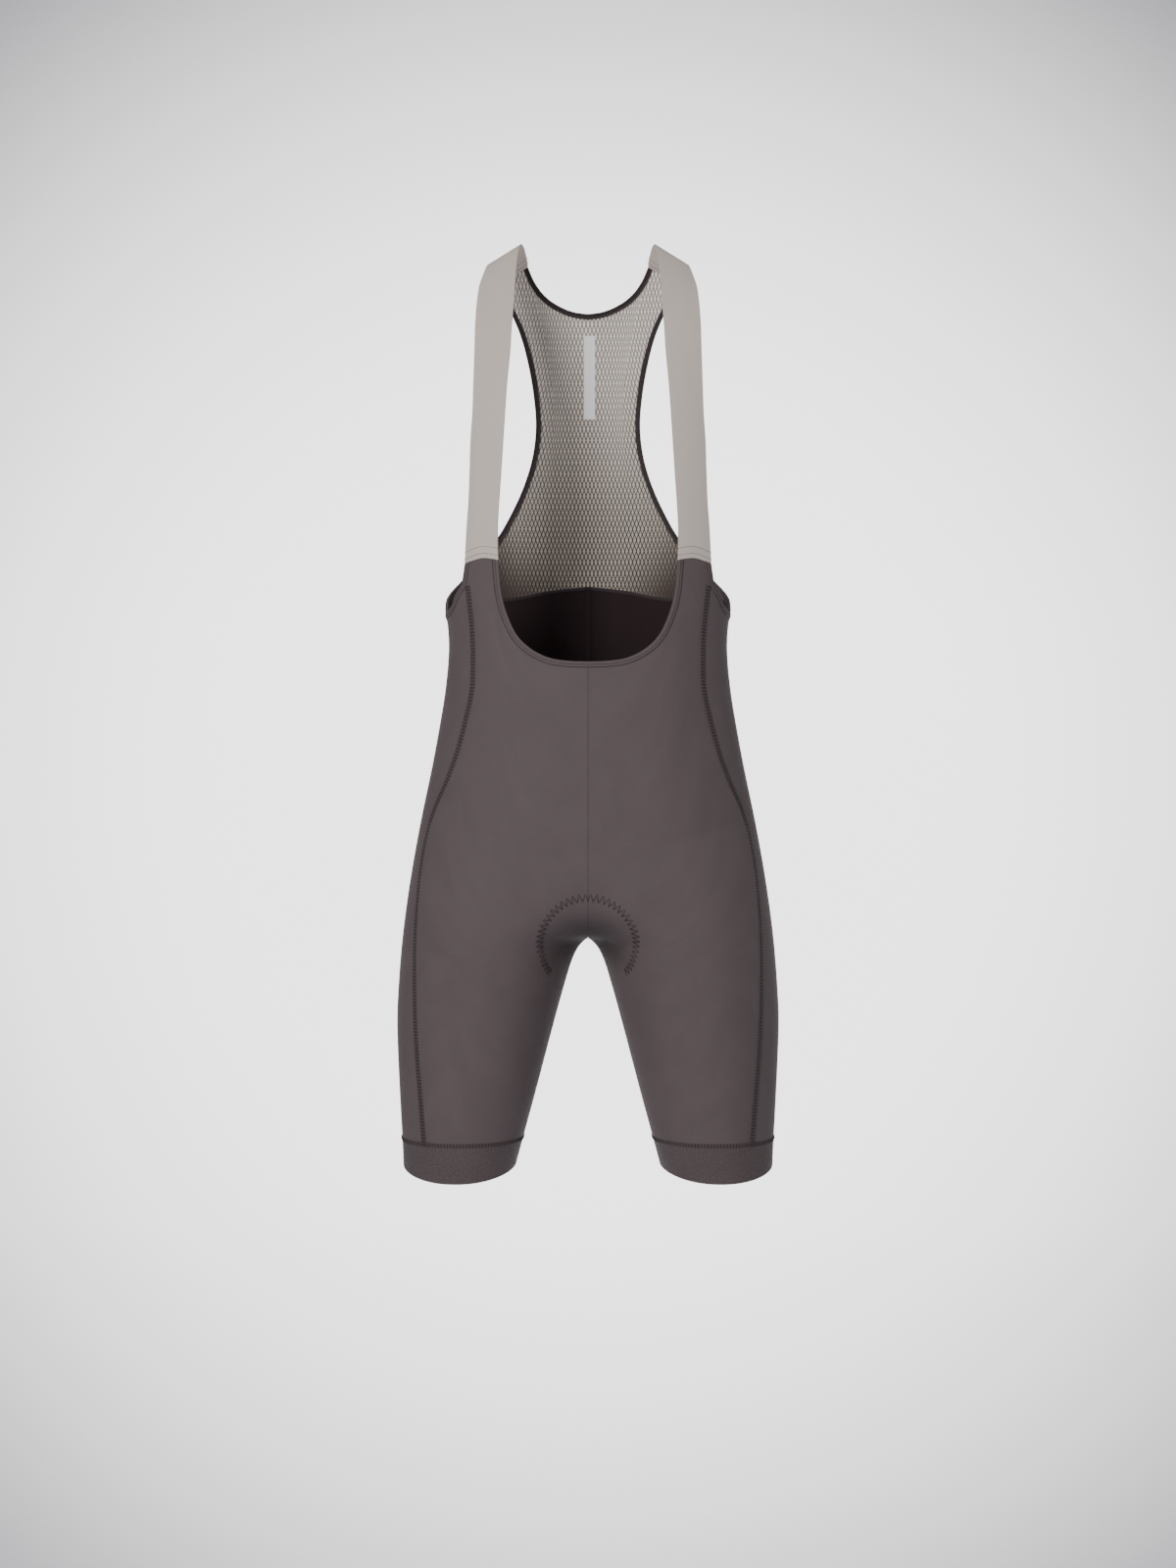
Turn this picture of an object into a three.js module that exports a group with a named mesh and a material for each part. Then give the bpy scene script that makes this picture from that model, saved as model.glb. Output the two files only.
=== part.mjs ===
// Cycling bib shorts, filled out with no wearer inside them
// Millimetres, +Z up, front facing -Y, +X towards the wearer's left.
// The origin lies midway between the shoulder straps, at the top of the shoulders.
// The outer face of the cloth is worked out as a surface with two directions: "level" runs from the
// shoulders down to the leg openings, and "turn" runs from the front middle (-1) round the outside of
// one half of the body (0) to the back middle (+1). The other half is its mirror image.
import * as THREE from 'three';

// Cloth
const WALL = 1.5;
const MESH_WALL = 1.2;
const STRAP_WALL = 1.6;
const GRIPPER_WALL = 1.8;
const SEAM_GAP = 0.3;
const EDGE_GAP = 0.4;
const BINDING_WIDTH = 5.6;
const DARK_BINDING_WIDTH = 4.6;
const BINDING_RISE = 0.5;
const BINDING_WALL = 2.5;

// Heights
const TRUNK_TOP = -420;
const TRUNK_FOOT_INNER = -596;
const TRUNK_FOOT_OUTER = -552;
const CROTCH = -669;
const CROTCH_ROW_OUTER = -696;
const GRIPPER_TOP = -863;
const HEM_SIDE = -889;
const HEM_DIP = 11.5;
const CHART_STEP = 100;

// Half the width of the soft rounding over the middle of the body and at the crotch
const MIDDLE_ROUND = 16;

// Half width of the body at its side
const SIDE = [
  { z: 20, x: 152 },
  { z: -90, x: 149 },
  { z: -220, x: 146 },
  { z: -308, x: 143 },
  { z: -330, x: 142 },
  { z: -343, x: 141 },
  { z: -353, x: 139 },
  { z: -364, x: 136.9 },
  { z: -378, x: 135.8 },
  { z: -392, x: 135.8 },
  { z: -414, x: 137.5 },
  { z: -442, x: 141.2 },
  { z: -500, x: 151.7 },
  { z: -557, x: 163.6 },
  { z: -615, x: 173.9 },
  { z: -672, x: 181.4 },
  { z: -730, x: 185.7 },
  { z: -758, x: 186.1 },
  { z: -816, x: 183.7 },
  { z: -866, x: 181 },
  { z: -905, x: 179.4 },
];

// Front and back reach, where the side lies between them, and how square the section is
const DEPTH = [
  { z: 20, front: -6, back: 18, middle: 0, square: 2.3 },
  { z: -5, front: -14, back: 42, middle: 0, square: 2.3 },
  { z: -23, front: -24, back: 52, middle: 0, square: 2.3 },
  { z: -48, front: -38, back: 66, middle: 0, square: 2.3 },
  { z: -78, front: -53, back: 79, middle: 0, square: 2.3 },
  { z: -110, front: -66, back: 89, middle: 0, square: 2.35 },
  { z: -156, front: -80, back: 98, middle: 0, square: 2.4 },
  { z: -220, front: -91, back: 102, middle: 0, square: 2.4 },
  { z: -268, front: -94, back: 101, middle: 0, square: 2.45 },
  { z: -308, front: -95, back: 98, middle: 0, square: 2.5 },
  { z: -350, front: -94, back: 96, middle: 0, square: 2.5 },
  { z: -400, front: -95, back: 97, middle: 1, square: 2.45 },
  { z: -450, front: -99, back: 103, middle: 2, square: 2.4 },
  { z: -500, front: -102, back: 112, middle: 4, square: 2.45 },
  { z: -550, front: -105, back: 120, middle: 6, square: 2.5 },
  { z: -600, front: -106, back: 124, middle: 7, square: 2.45 },
  { z: -640, front: -104, back: 120, middle: 7, square: 2.35 },
  { z: -680, front: -99.5, back: 110, middle: 6, square: 2.25 },
  { z: -720, front: -93.5, back: 98, middle: 4, square: 2.15 },
  { z: -787, front: -82, back: 83, middle: 1, square: 2.1 },
  { z: -844, front: -71, back: 71, middle: 0, square: 2.1 },
  { z: -889, front: -64, back: 64, middle: 0, square: 2.1 },
  { z: -905, front: -62, back: 62, middle: 0, square: 2.1 },
];

// Half of the gap between the legs, below the crotch
const INSEAM = [
  { z: -669, x: 0 },
  { z: -690, x: 15.2 },
  { z: -715, x: 23 },
  { z: -758, x: 34.9 },
  { z: -816, x: 50.2 },
  { z: -873, x: 65.7 },
  { z: -905, x: 74.2 },
];

// How far the crotch middle rises from the crotch to where the trunk is straight, and how boxy that curve is
const CROTCH_RISE = TRUNK_FOOT_INNER - CROTCH;
const CROTCH_BOX = 1.35;

// Side seam, as seen from the front
const SIDE_SEAM = [
  { z: -322, x: 117.2 },
  { z: -333, x: 114.4 },
  { z: -348, x: 112.6 },
  { z: -380, x: 109.8 },
  { z: -417, x: 109.4 },
  { z: -432, x: 110.5 },
  { z: -454, x: 115.2 },
  { z: -487, x: 124 },
  { z: -516, x: 134.7 },
  { z: -542, x: 146.6 },
  { z: -566, x: 154.3 },
  { z: -606, x: 160.9 },
  { z: -669, x: 165 },
  { z: -733, x: 165 },
  { z: -781, x: 162.9 },
  { z: -811, x: 160.5 },
  { z: -857, x: 157.1 },
  { z: -905, x: 153 },
];

// Front neckline, from the middle up to the strap, as seen from the front
const NECKLINE = [
  { x: 0, z: -404 },
  { x: 18, z: -403.4 },
  { x: 36.7, z: -400.4 },
  { x: 54.7, z: -391.2 },
  { x: 67.7, z: -378.1 },
  { x: 78.3, z: -354.6 },
  { x: 82.5, z: -336 },
  { x: 84.9, z: -308 },
];

// Foot of the strap on the front panel
const STRAP_FOOT = [
  { x: 84.9, z: -308 },
  { x: 100.5, z: -305.6 },
  { x: 117.2, z: -310 },
];

// Armhole on the front panel, from the strap to the side seam
const ARMHOLE_FRONT = [
  { x: 117.2, z: -310 },
  { x: 118.6, z: -319.5 },
  { x: 120.2, z: -329 },
];

// Armhole on the side panel, by the turn round the half body in degrees from the side
const ARMHOLE_SIDE = [
  { degrees: -31.5, z: -338.2 },
  { degrees: -25.8, z: -346.6 },
  { degrees: -19.7, z: -350.9 },
  { degrees: -10, z: -353.6 },
  { degrees: -2, z: -353.2 },
  { degrees: 5.4, z: -345.5 },
  { degrees: 10, z: -338 },
  { degrees: 17.5, z: -330.4 },
  { degrees: 24, z: -324.4 },
  { degrees: 30, z: -318.5 },
];

// Seam between the mesh and the lower back, from the middle out to the armhole
const BACK_SEAM = [
  { x: 0, z: -320.4 },
  { x: 40, z: -325 },
  { x: 62, z: -329.6 },
  { x: 84, z: -333 },
  { x: 104, z: -333.2 },
  { x: 118, z: -329.8 },
  { x: 126.7, z: -323.6 },
  { x: 129, z: -318.5 },
];

// Side edge of the mesh, from the armhole up to the strap
const MESH_SIDE = [
  { x: 107, z: -290.5 },
  { x: 91, z: -268.8 },
  { x: 78.1, z: -245.3 },
  { x: 64.9, z: -215.4 },
  { x: 56.2, z: -185.6 },
  { x: 53, z: -155.7 },
  { x: 55.3, z: -124.5 },
  { x: 60.5, z: -95 },
  { x: 68, z: -68 },
  { x: 80, z: -42 },
  { x: 92, z: -23 },
];

// Back neck scoop, from the middle up to the strap
const NECK_SCOOP = [
  { x: 0, z: -47.4 },
  { x: 14, z: -45.6 },
  { x: 26.1, z: -41.5 },
  { x: 38.7, z: -34.6 },
  { x: 47, z: -27.2 },
  { x: 54, z: -17.5 },
  { x: 59.8, z: -5.3 },
];

// Strap on the front of the body, from its foot upwards
const STRAP_FRONT = [
  { z: -278, inner: 85.4, outer: 115.6 },
  { z: -250, inner: 83.9, outer: 113.6 },
  { z: -222, inner: 82, outer: 112.6 },
  { z: -194, inner: 80.3, outer: 111.9 },
  { z: -166, inner: 78.6, outer: 110.2 },
  { z: -137, inner: 76.8, outer: 109.5 },
  { z: -108, inner: 74.3, outer: 108.9 },
  { z: -78, inner: 72.8, outer: 108.5 },
];

// Strap over the shoulder: its neck edge and its outer edge
const STRAP_SHOULDER = [
  { neck: [71.2, -37, -49], outer: [107.6, -30, -56] },
  { neck: [70, -24.5, -24], outer: [105.6, -18, -36] },
  { neck: [68.5, -12.5, -5], outer: [102, -9, -22.5] },
  { neck: [66.9, -5, 6.5], outer: [99.5, -3.5, -13.2] },
  { neck: [65.6, 0, 10], outer: [98, 0, -10] },
  { neck: [64.4, 6, 9], outer: [96.8, 6, -10.8] },
  { neck: [62.8, 16, 4.8], outer: [95, 16, -14.3] },
  { neck: [61.2, 28, 0], outer: [93.4, 29, -18.8] },
];

// Label inside the mesh
const LABEL = { middle: 1.5, width: 11.5, top: -60, foot: -146, wall: 1 };

// Seat pad: its round front as seen from the front, and its reach over the seat at the back
const PAD_CENTRE_Z = -678;
const PAD_RADIUS = 47.5;
const PAD_EDGE = 2;
const PAD_CROWN = 6;
const PAD_CLEARANCE = 1.3;
const PAD_BACK = [
  { level: 0.8, reach: 34 },
  { level: 0.9, reach: 54 },
  { level: 1, reach: 66 },
  { level: 1.33, reach: 79 },
  { level: 1.67, reach: 80 },
  { level: 2, reach: 68 },
  { level: 2.1, reach: 51 },
  { level: 2.2, reach: 28 },
];
const PAD_LEVELS_FRONT = [1.36, 1.44, 1.54, 1.64, 1.75, 1.88, 2, 2.07, 2.14, 2.2];
const PAD_LEVELS_BACK = [0.8, 0.9, 1, 1.12, 1.24, ...PAD_LEVELS_FRONT];

// How finely each piece is divided
const TRUNK_ROWS = 5;
const CROTCH_ROWS = 8;
const LEG_ROWS = 8;
const TOP_ROWS = 4;
const GRIPPER_ROWS = 3;
const NECK_STEPS = 10;
const STRAP_STEPS = 3;
const ARM_STEPS = 2;
const SIDE_STEPS = 12;
const MESH_ROWS = 16;
const SCOOP_STEPS = 8;
const BACK_STEPS = SCOOP_STEPS + STRAP_STEPS;
const PAD_STEPS = 4;
const LABEL_ROWS = 8;

// Colours, with how rough each cloth is
const KNIT = { color: '#5b5152', roughness: 0.72, metalness: 0 };
const GRIPPER_CLOTH = { color: '#453c3d', roughness: 0.85, metalness: 0 };
const ELASTIC = { color: '#b6afa9', roughness: 0.7, metalness: 0 };
const DARK_TRIM = { color: '#241d1f', roughness: 0.75, metalness: 0 };
const OPEN_KNIT = { color: '#7a726d', roughness: 0.8, metalness: 0 };
const LABEL_CLOTH = { color: '#d7dcdb', roughness: 0.6, metalness: 0 };
const PAD_FOAM = { color: '#2c2627', roughness: 0.9, metalness: 0 };

// A smooth curve through a table's rows, read at any value of its key column
function readTable(table, key, column) {
  const keys = table.map((row) => row[key]);
  const values = table.map((row) => row[column]);
  const sign = keys[keys.length - 1] > keys[0] ? 1 : -1;
  const slopes = [];
  for (let i = 0; i < keys.length; i += 1) {
    const before = Math.max(i - 1, 0);
    const after = Math.min(i + 1, keys.length - 1);
    slopes.push((values[after] - values[before]) / (keys[after] - keys[before]));
  }
  return (at) => {
    let i = 0;
    while (i < keys.length - 2 && sign * at > sign * keys[i + 1]) i += 1;
    const span = keys[i + 1] - keys[i];
    const t = THREE.MathUtils.clamp((at - keys[i]) / span, 0, 1);
    const rise = values[i] * (1 + 2 * t) * (1 - t) ** 2 + values[i + 1] * t * t * (3 - 2 * t);
    return rise + span * t * (1 - t) * (slopes[i] * (1 - t) - slopes[i + 1] * t);
  };
}

const sideAt = readTable(SIDE, 'z', 'x');
const frontAt = readTable(DEPTH, 'z', 'front');
const backAt = readTable(DEPTH, 'z', 'back');
const middleAt = readTable(DEPTH, 'z', 'middle');
const squareAt = readTable(DEPTH, 'z', 'square');
const seamAt = readTable(SIDE_SEAM, 'z', 'x');
const padReachAt = readTable(PAD_BACK, 'level', 'reach');
const inseamRows = INSEAM.map((row) => ({ z: row.z, x: Math.hypot(row.x, MIDDLE_ROUND) }));
const inseamAt = readTable(inseamRows, 'z', 'x');

// Heights of a level at its inner end and at the side, and how far it turns before the middle cuts it
// Below 0 the level is the height above the trunk, then 0 to 1 is the trunk, 1 to 2 the crotch, 2 to 3 the
// leg, and past 3 the gripper.
function levelRow(level) {
  if (level < 0) {
    const z = TRUNK_TOP - CHART_STEP * level;
    return { inner: z, outer: z, cut: Math.PI / 2 };
  }
  if (level <= 1) {
    const inner = THREE.MathUtils.lerp(TRUNK_TOP, TRUNK_FOOT_INNER, level);
    const outer = THREE.MathUtils.lerp(TRUNK_TOP, TRUNK_FOOT_OUTER, level);
    return { inner, outer, cut: Math.PI / 2 };
  }
  if (level <= 2) {
    const cut = (Math.PI / 2) * level;
    const share = 1 - Math.abs(Math.cos(cut)) ** (2 / squareAt(CROTCH));
    const inner = CROTCH + CROTCH_RISE * share ** CROTCH_BOX;
    const outer = THREE.MathUtils.lerp(TRUNK_FOOT_OUTER, CROTCH_ROW_OUTER, level - 1);
    return { inner, outer, cut };
  }
  if (level <= 3) {
    const inner = THREE.MathUtils.lerp(CROTCH, GRIPPER_TOP, level - 2);
    const outer = THREE.MathUtils.lerp(CROTCH_ROW_OUTER, GRIPPER_TOP, level - 2);
    return { inner, outer, cut: Math.PI };
  }
  const z = GRIPPER_TOP - CHART_STEP * (level - 3);
  return { inner: z, outer: z, cut: Math.PI };
}

const trunkLevel = (z) => (TRUNK_TOP - z) / CHART_STEP;
const gripperLevel = (z) => 3 + (GRIPPER_TOP - z) / CHART_STEP;

// A point of the cloth's outer face
function bodyPoint(level, turn) {
  const { inner, outer, cut } = levelRow(level);
  const power = 2 / squareAt((inner + outer) / 2);
  const angle = turn * cut;
  const start = cut < Math.PI ? MIDDLE_ROUND : inseamAt(inner);
  const end = Math.hypot(sideAt(outer), MIDDLE_ROUND);
  const beyond = Math.abs(Math.cos(cut)) ** power * (cut > Math.PI / 2 ? 1 : 0);
  const radius = (end - start) / (1 + beyond);
  const centre = start + beyond * radius;
  const cosine = Math.cos(angle);
  const across = centre + radius * Math.sign(cosine) * Math.abs(cosine) ** power;
  const z = outer + ((inner - outer) * (end - across)) / (end - start);
  const sine = Math.sin(angle);
  const reach = sine < 0 ? middleAt(z) - frontAt(z) : backAt(z) - middleAt(z);
  const y = middleAt(z) + reach * Math.sign(sine) * Math.abs(sine) ** power;
  const x = Math.sqrt(Math.max(across * across - MIDDLE_ROUND * MIDDLE_ROUND, 0));
  return new THREE.Vector3(x, y, z);
}

// The two directions of the surface at a point
function bodySlopes(level, turn) {
  const stepLevel = 0.004;
  const stepTurn = 0.002;
  const down = bodyPoint(level + stepLevel, turn).sub(bodyPoint(level - stepLevel, turn));
  const whole = levelRow(level).cut > Math.PI - 1e-6;
  if (!whole && Math.abs(turn) > 1 - stepTurn) {
    const reach = bodyPoint(level, Math.sign(turn) * (1 - stepTurn)).x / stepTurn;
    const round = new THREE.Vector3(-Math.sign(turn) * reach, 0, 0);
    return { down: down.divideScalar(2 * stepLevel), round };
  }
  const round = bodyPoint(level, turn + stepTurn).sub(bodyPoint(level, turn - stepTurn));
  return { down: down.divideScalar(2 * stepLevel), round: round.divideScalar(2 * stepTurn) };
}

// The outward direction at a point
function bodyNormal(level, turn) {
  const { down, round } = bodySlopes(level, turn);
  const normal = down.cross(round);
  if (levelRow(level).cut < Math.PI && Math.abs(turn) > 0.9999) normal.x = 0;
  return normal.normalize();
}

// A step over the surface, of a given length and direction in space
function stepOver(spot, direction, length) {
  let { level, turn } = spot;
  const pieces = 3;
  for (let i = 0; i < pieces; i += 1) {
    const { down, round } = bodySlopes(level, turn);
    const a = down.dot(down);
    const b = down.dot(round);
    const c = round.dot(round);
    const p = (down.dot(direction) * length) / pieces;
    const q = (round.dot(direction) * length) / pieces;
    const whole = a * c - b * b;
    level += (p * c - q * b) / whole;
    turn += (q * a - p * b) / whole;
  }
  return { level, turn };
}

// The spot of the trunk at a height and half width, on the front (-1) or the back (+1)
function trunkSpot(x, z, face) {
  const power = 2 / squareAt(z);
  const end = Math.hypot(sideAt(z), MIDDLE_ROUND);
  const share = (Math.hypot(x, MIDDLE_ROUND) - MIDDLE_ROUND) / (end - MIDDLE_ROUND);
  const angle = Math.acos(Math.min(share, 1) ** (1 / power));
  return { level: trunkLevel(z), turn: x === 0 ? face : (face * angle) / (Math.PI / 2) };
}

const pointOf = (spot) => bodyPoint(spot.level, spot.turn);

// The turn of the side seam on any level
function seamTurn(level) {
  let near = -Math.PI / 2 / levelRow(level).cut;
  let far = 0;
  for (let i = 0; i < 30; i += 1) {
    const turn = (near + far) / 2;
    const point = bodyPoint(level, turn);
    if (point.x < seamAt(point.z)) near = turn;
    else far = turn;
  }
  return (near + far) / 2;
}

// Turns along a level, at given shares of the length between two turns, kept half a seam from both ends
function shareTurns(level, from, to, shares) {
  const steps = 60;
  const lengths = [0];
  let before = bodyPoint(level, from);
  for (let i = 1; i <= steps; i += 1) {
    const point = bodyPoint(level, from + ((to - from) * i) / steps);
    lengths.push(lengths[i - 1] + point.distanceTo(before));
    before = point;
  }
  const total = lengths[steps];
  return shares.map((share) => {
    const goal = SEAM_GAP / 2 + share * (total - SEAM_GAP);
    let i = 1;
    while (i < steps && lengths[i] < goal) i += 1;
    const start = bodyPoint(level, from + ((to - from) * (i - 1)) / steps);
    let near = i - 1;
    let far = i;
    for (let k = 0; k < 24; k += 1) {
      const part = (near + far) / 2;
      const reach = bodyPoint(level, from + ((to - from) * part) / steps).distanceTo(start);
      if (lengths[i - 1] + reach < goal) near = part;
      else far = part;
    }
    return from + ((to - from) * near) / steps;
  });
}

const evenShares = (count) => Array.from({ length: count + 1 }, (_, i) => i / count);

// A sheet is a list of points with outward directions, and the four-sided cells between them
function gridSheet(rows) {
  const sheet = { points: [], normals: [], cells: [] };
  const width = rows[0].length;
  for (const row of rows) {
    for (const spot of row) {
      sheet.points.push(spot.point);
      sheet.normals.push(spot.normal);
    }
  }
  for (let i = 0; i < rows.length - 1; i += 1) {
    for (let j = 0; j < width - 1; j += 1) {
      const a = i * width + j;
      sheet.cells.push([a, a + width, a + width + 1, a + 1]);
    }
  }
  return sheet;
}

function mirrorSheet(sheet) {
  const flip = (v) => new THREE.Vector3(-v.x, v.y, v.z);
  return {
    points: sheet.points.map(flip),
    normals: sheet.normals.map(flip),
    depths: sheet.depths,
    cells: sheet.cells.map((cell) => [...cell].reverse()),
  };
}

// One sheet from several, with the points that meet made one
function joinSheets(sheets) {
  const joined = { points: [], normals: [], depths: [], cells: [] };
  const places = new Map();
  for (const sheet of sheets) {
    const index = sheet.points.map((point, i) => {
      const key = [point.x, point.y, point.z].map((value) => Math.round(value * 100)).join();
      if (!places.has(key)) {
        places.set(key, joined.points.length);
        joined.points.push(point.clone());
        joined.normals.push(new THREE.Vector3());
        joined.depths.push(sheet.depths ? sheet.depths[i] : 0);
      }
      joined.normals[places.get(key)].add(sheet.normals[i]);
      return places.get(key);
    });
    for (const cell of sheet.cells) {
      joined.cells.push(cell.map((corner) => index[corner]));
    }
  }
  joined.normals.forEach((normal) => normal.normalize());
  return joined;
}

// Directions of a sheet from its own cells, for pieces that leave the body surface
function setOwnNormals(sheet) {
  sheet.normals = sheet.points.map(() => new THREE.Vector3());
  for (const [a, b, c, d] of sheet.cells) {
    const first = sheet.points[c].clone().sub(sheet.points[a]);
    const second = sheet.points[d].clone().sub(sheet.points[b]);
    const normal = first.cross(second);
    for (const corner of [a, b, c, d]) sheet.normals[corner].add(normal);
  }
  sheet.normals.forEach((normal) => normal.normalize());
}

// A closed wall on a sheet, between two distances from it, with any depth the sheet gives taken inwards
function wallGeometry(sheet, outside, inside) {
  const count = sheet.points.length;
  const depthAt = (i) => (sheet.depths && sheet.depths[i] ? inside - sheet.depths[i] : inside);
  const outer = sheet.points.map((point, i) => point.clone().addScaledVector(sheet.normals[i], outside));
  const inner = sheet.points.map((point, i) => point.clone().addScaledVector(sheet.normals[i], depthAt(i)));
  const faces = [];
  const edges = new Set();
  for (const cell of sheet.cells) {
    const [a, b, c, d] = cell;
    const slant = sheet.points[a].distanceTo(sheet.points[c]) - sheet.points[b].distanceTo(sheet.points[d]);
    const halves = slant < 0 ? [[a, b, c], [a, c, d]] : [[b, c, d], [b, d, a]];
    for (const [p, q, r] of halves) faces.push([p, q, r], [p + count, r + count, q + count]);
    cell.forEach((corner, i) => edges.add(`${corner},${cell[(i + 1) % 4]}`));
  }
  const order = ({ x, y, z }) => z + 0.37 * Math.abs(x) + 0.11 * y;
  for (const edge of edges) {
    const [a, b] = edge.split(',').map(Number);
    if (edges.has(`${b},${a}`)) continue;
    const rising = order(sheet.points[a]) < order(sheet.points[b]);
    if (rising) faces.push([a + count, b + count, b], [a + count, b, a]);
    else faces.push([a + count, b + count, a], [b + count, b, a]);
  }
  const geometry = new THREE.BufferGeometry();
  const positions = [...outer, ...inner].flatMap((corner) => corner.toArray());
  geometry.setAttribute('position', new THREE.Float32BufferAttribute(positions, 3));
  geometry.setIndex(faces.flat());
  geometry.computeVertexNormals();
  return geometry;
}

const garment = new THREE.Group();

function addPiece(name, geometry, finish) {
  const piece = new THREE.Mesh(geometry, new THREE.MeshStandardMaterial(finish));
  piece.name = name;
  garment.add(piece);
}

// The same piece on both sides of the body: +X is the wearer's left
function addPair(name, sheet, outside, inside, finish) {
  addPiece(`${name}_left`, wallGeometry(sheet, outside, inside), finish);
  addPiece(`${name}_right`, wallGeometry(mirrorSheet(sheet), outside, inside), finish);
}

const dressSpot = (spot) => ({ point: pointOf(spot), normal: bodyNormal(spot.level, spot.turn) });
const last = (list) => list[list.length - 1];
const backwards = (list) => [...list].reverse();

// Spots of a smooth curve through a table's points, on the front (-1) or the back (+1)
function spotsAlong(table, face, count) {
  const curve = new THREE.CatmullRomCurve3(
    table.map((row) => new THREE.Vector3(row.x, 0, row.z)),
    false,
    'centripetal',
  );
  return curve.getSpacedPoints(count).map((point) => trunkSpot(Math.max(point.x, 0), point.z, face));
}

// Moves an edge over the surface by a width, to the right of its run as seen from outside
function insetEdge(spots, width) {
  const points = spots.map(pointOf);
  return spots.map((spot, i) => {
    const ahead = points[Math.min(i + 1, points.length - 1)];
    const run = ahead.clone().sub(points[Math.max(i - 1, 0)]).normalize();
    const middle = Math.abs(spot.turn) === 1;
    if (middle) run.set(1, 0, 0);
    const side = run.cross(bodyNormal(spot.level, spot.turn)).normalize();
    const moved = stepOver(spot, side, width);
    return middle ? { level: moved.level, turn: spot.turn } : moved;
  });
}

// Moves the end of an edge back along it by half a seam
function trimEnd(spots) {
  const [before, end] = spots.slice(-2);
  const share = SEAM_GAP / 2 / pointOf(before).distanceTo(pointOf(end));
  const level = THREE.MathUtils.lerp(end.level, before.level, share);
  const turn = THREE.MathUtils.lerp(end.turn, before.turn, share);
  return [...spots.slice(0, -1), { level, turn }];
}

const footAt = readTable(STRAP_FOOT, 'x', 'z');
const backSeamAt = readTable(BACK_SEAM, 'x', 'z');
const footSpot = (x) => trunkSpot(x, footAt(x) - SEAM_GAP / 2, -1);
const inset = BINDING_WIDTH + EDGE_GAP;
const darkInset = DARK_BINDING_WIDTH + EDGE_GAP;

// Front neckline: its edge, the foot of its binding and the top of the panel below the binding
const strapInner = STRAP_FOOT[0].x;
const strapOuter = last(STRAP_FOOT).x;
const neckEdge = spotsAlong(NECKLINE, -1, NECK_STEPS);
neckEdge[NECK_STEPS] = footSpot(strapInner);
const neckBand = insetEdge(neckEdge, BINDING_WIDTH);
neckBand[NECK_STEPS] = footSpot(strapInner + BINDING_WIDTH);
const neckPanel = insetEdge(neckEdge, inset);
neckPanel[NECK_STEPS] = footSpot(strapInner + inset);

// Armhole, from the strap under the arm to the mesh, in the same three lines
const ARM_SCALE = 150;
const armFront = spotsAlong(ARMHOLE_FRONT, -1, ARM_STEPS);
const armSideRows = ARMHOLE_SIDE.map((row) => ({ level: trunkLevel(row.z), turn: row.degrees / 90 }));
const armSideCurve = new THREE.CatmullRomCurve3(
  [last(armFront), ...armSideRows]
    .map((spot) => new THREE.Vector3(spot.turn * ARM_SCALE, spot.level * CHART_STEP, 0)),
  false,
  'centripetal',
);
const armSide = armSideCurve.getSpacedPoints(SIDE_STEPS)
  .map((point) => ({ level: point.y / CHART_STEP, turn: point.x / ARM_SCALE }));
const armEdge = [...armFront, ...armSide.slice(1)];
armEdge[0] = footSpot(strapOuter);
const armBand = insetEdge(armEdge, BINDING_WIDTH);
armBand[0] = footSpot(strapOuter - BINDING_WIDTH);
const armPanel = insetEdge(armEdge, inset);
armPanel[0] = footSpot(strapOuter - inset);

// Levels of the rows that the panels share
const panelLevels = [
  ...evenShares(TRUNK_ROWS).slice(0, -1),
  ...evenShares(CROTCH_ROWS).slice(0, -1).map((share) => 1 + share),
  ...evenShares(LEG_ROWS).slice(0, -1).map((share) => 2 + share),
  3 - SEAM_GAP / 2 / (CROTCH_ROW_OUTER - GRIPPER_TOP),
];

// A panel's grid: columns fan from the spots of its top edge to even shares of the first level, then follow
// the levels. The column at the side seam bends with the seam, and the columns beside it bend less and less.
function panelSheet(top, shares, endsAt, seamWeight) {
  const first = shareTurns(0, ...endsAt(0), shares);
  const seamTop = armPanel[ARM_STEPS];
  const rows = evenShares(TOP_ROWS).slice(0, -1).map((part) => top.map((spot, j) => {
    const level = spot.level * (1 - part);
    const seamLevel = seamTop.level * (1 - part);
    const straight = THREE.MathUtils.lerp(seamTurn(seamTop.level), seamTurn(0), part);
    const bend = seamTurn(seamLevel) - straight;
    const turn = THREE.MathUtils.lerp(spot.turn, first[j], part) + bend * seamWeight(shares[j]);
    return dressSpot({ level, turn });
  }));
  for (const level of panelLevels) {
    rows.push(shareTurns(level, ...endsAt(level), shares).map((turn) => dressSpot({ level, turn })));
  }
  for (const { point } of rows.flat()) point.x = Math.max(point.x, SEAM_GAP / 2);
  return gridSheet(rows);
}

// Half a seam, as a turn, where the side seam meets the armhole
const HALF_SEAM_TURN = (SEAM_GAP / 2) / (strapOuter * (Math.PI / 2));
const seamTopSpot = (sign) => ({
  level: armPanel[ARM_STEPS].level,
  turn: armPanel[ARM_STEPS].turn + sign * HALF_SEAM_TURN,
});

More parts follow.
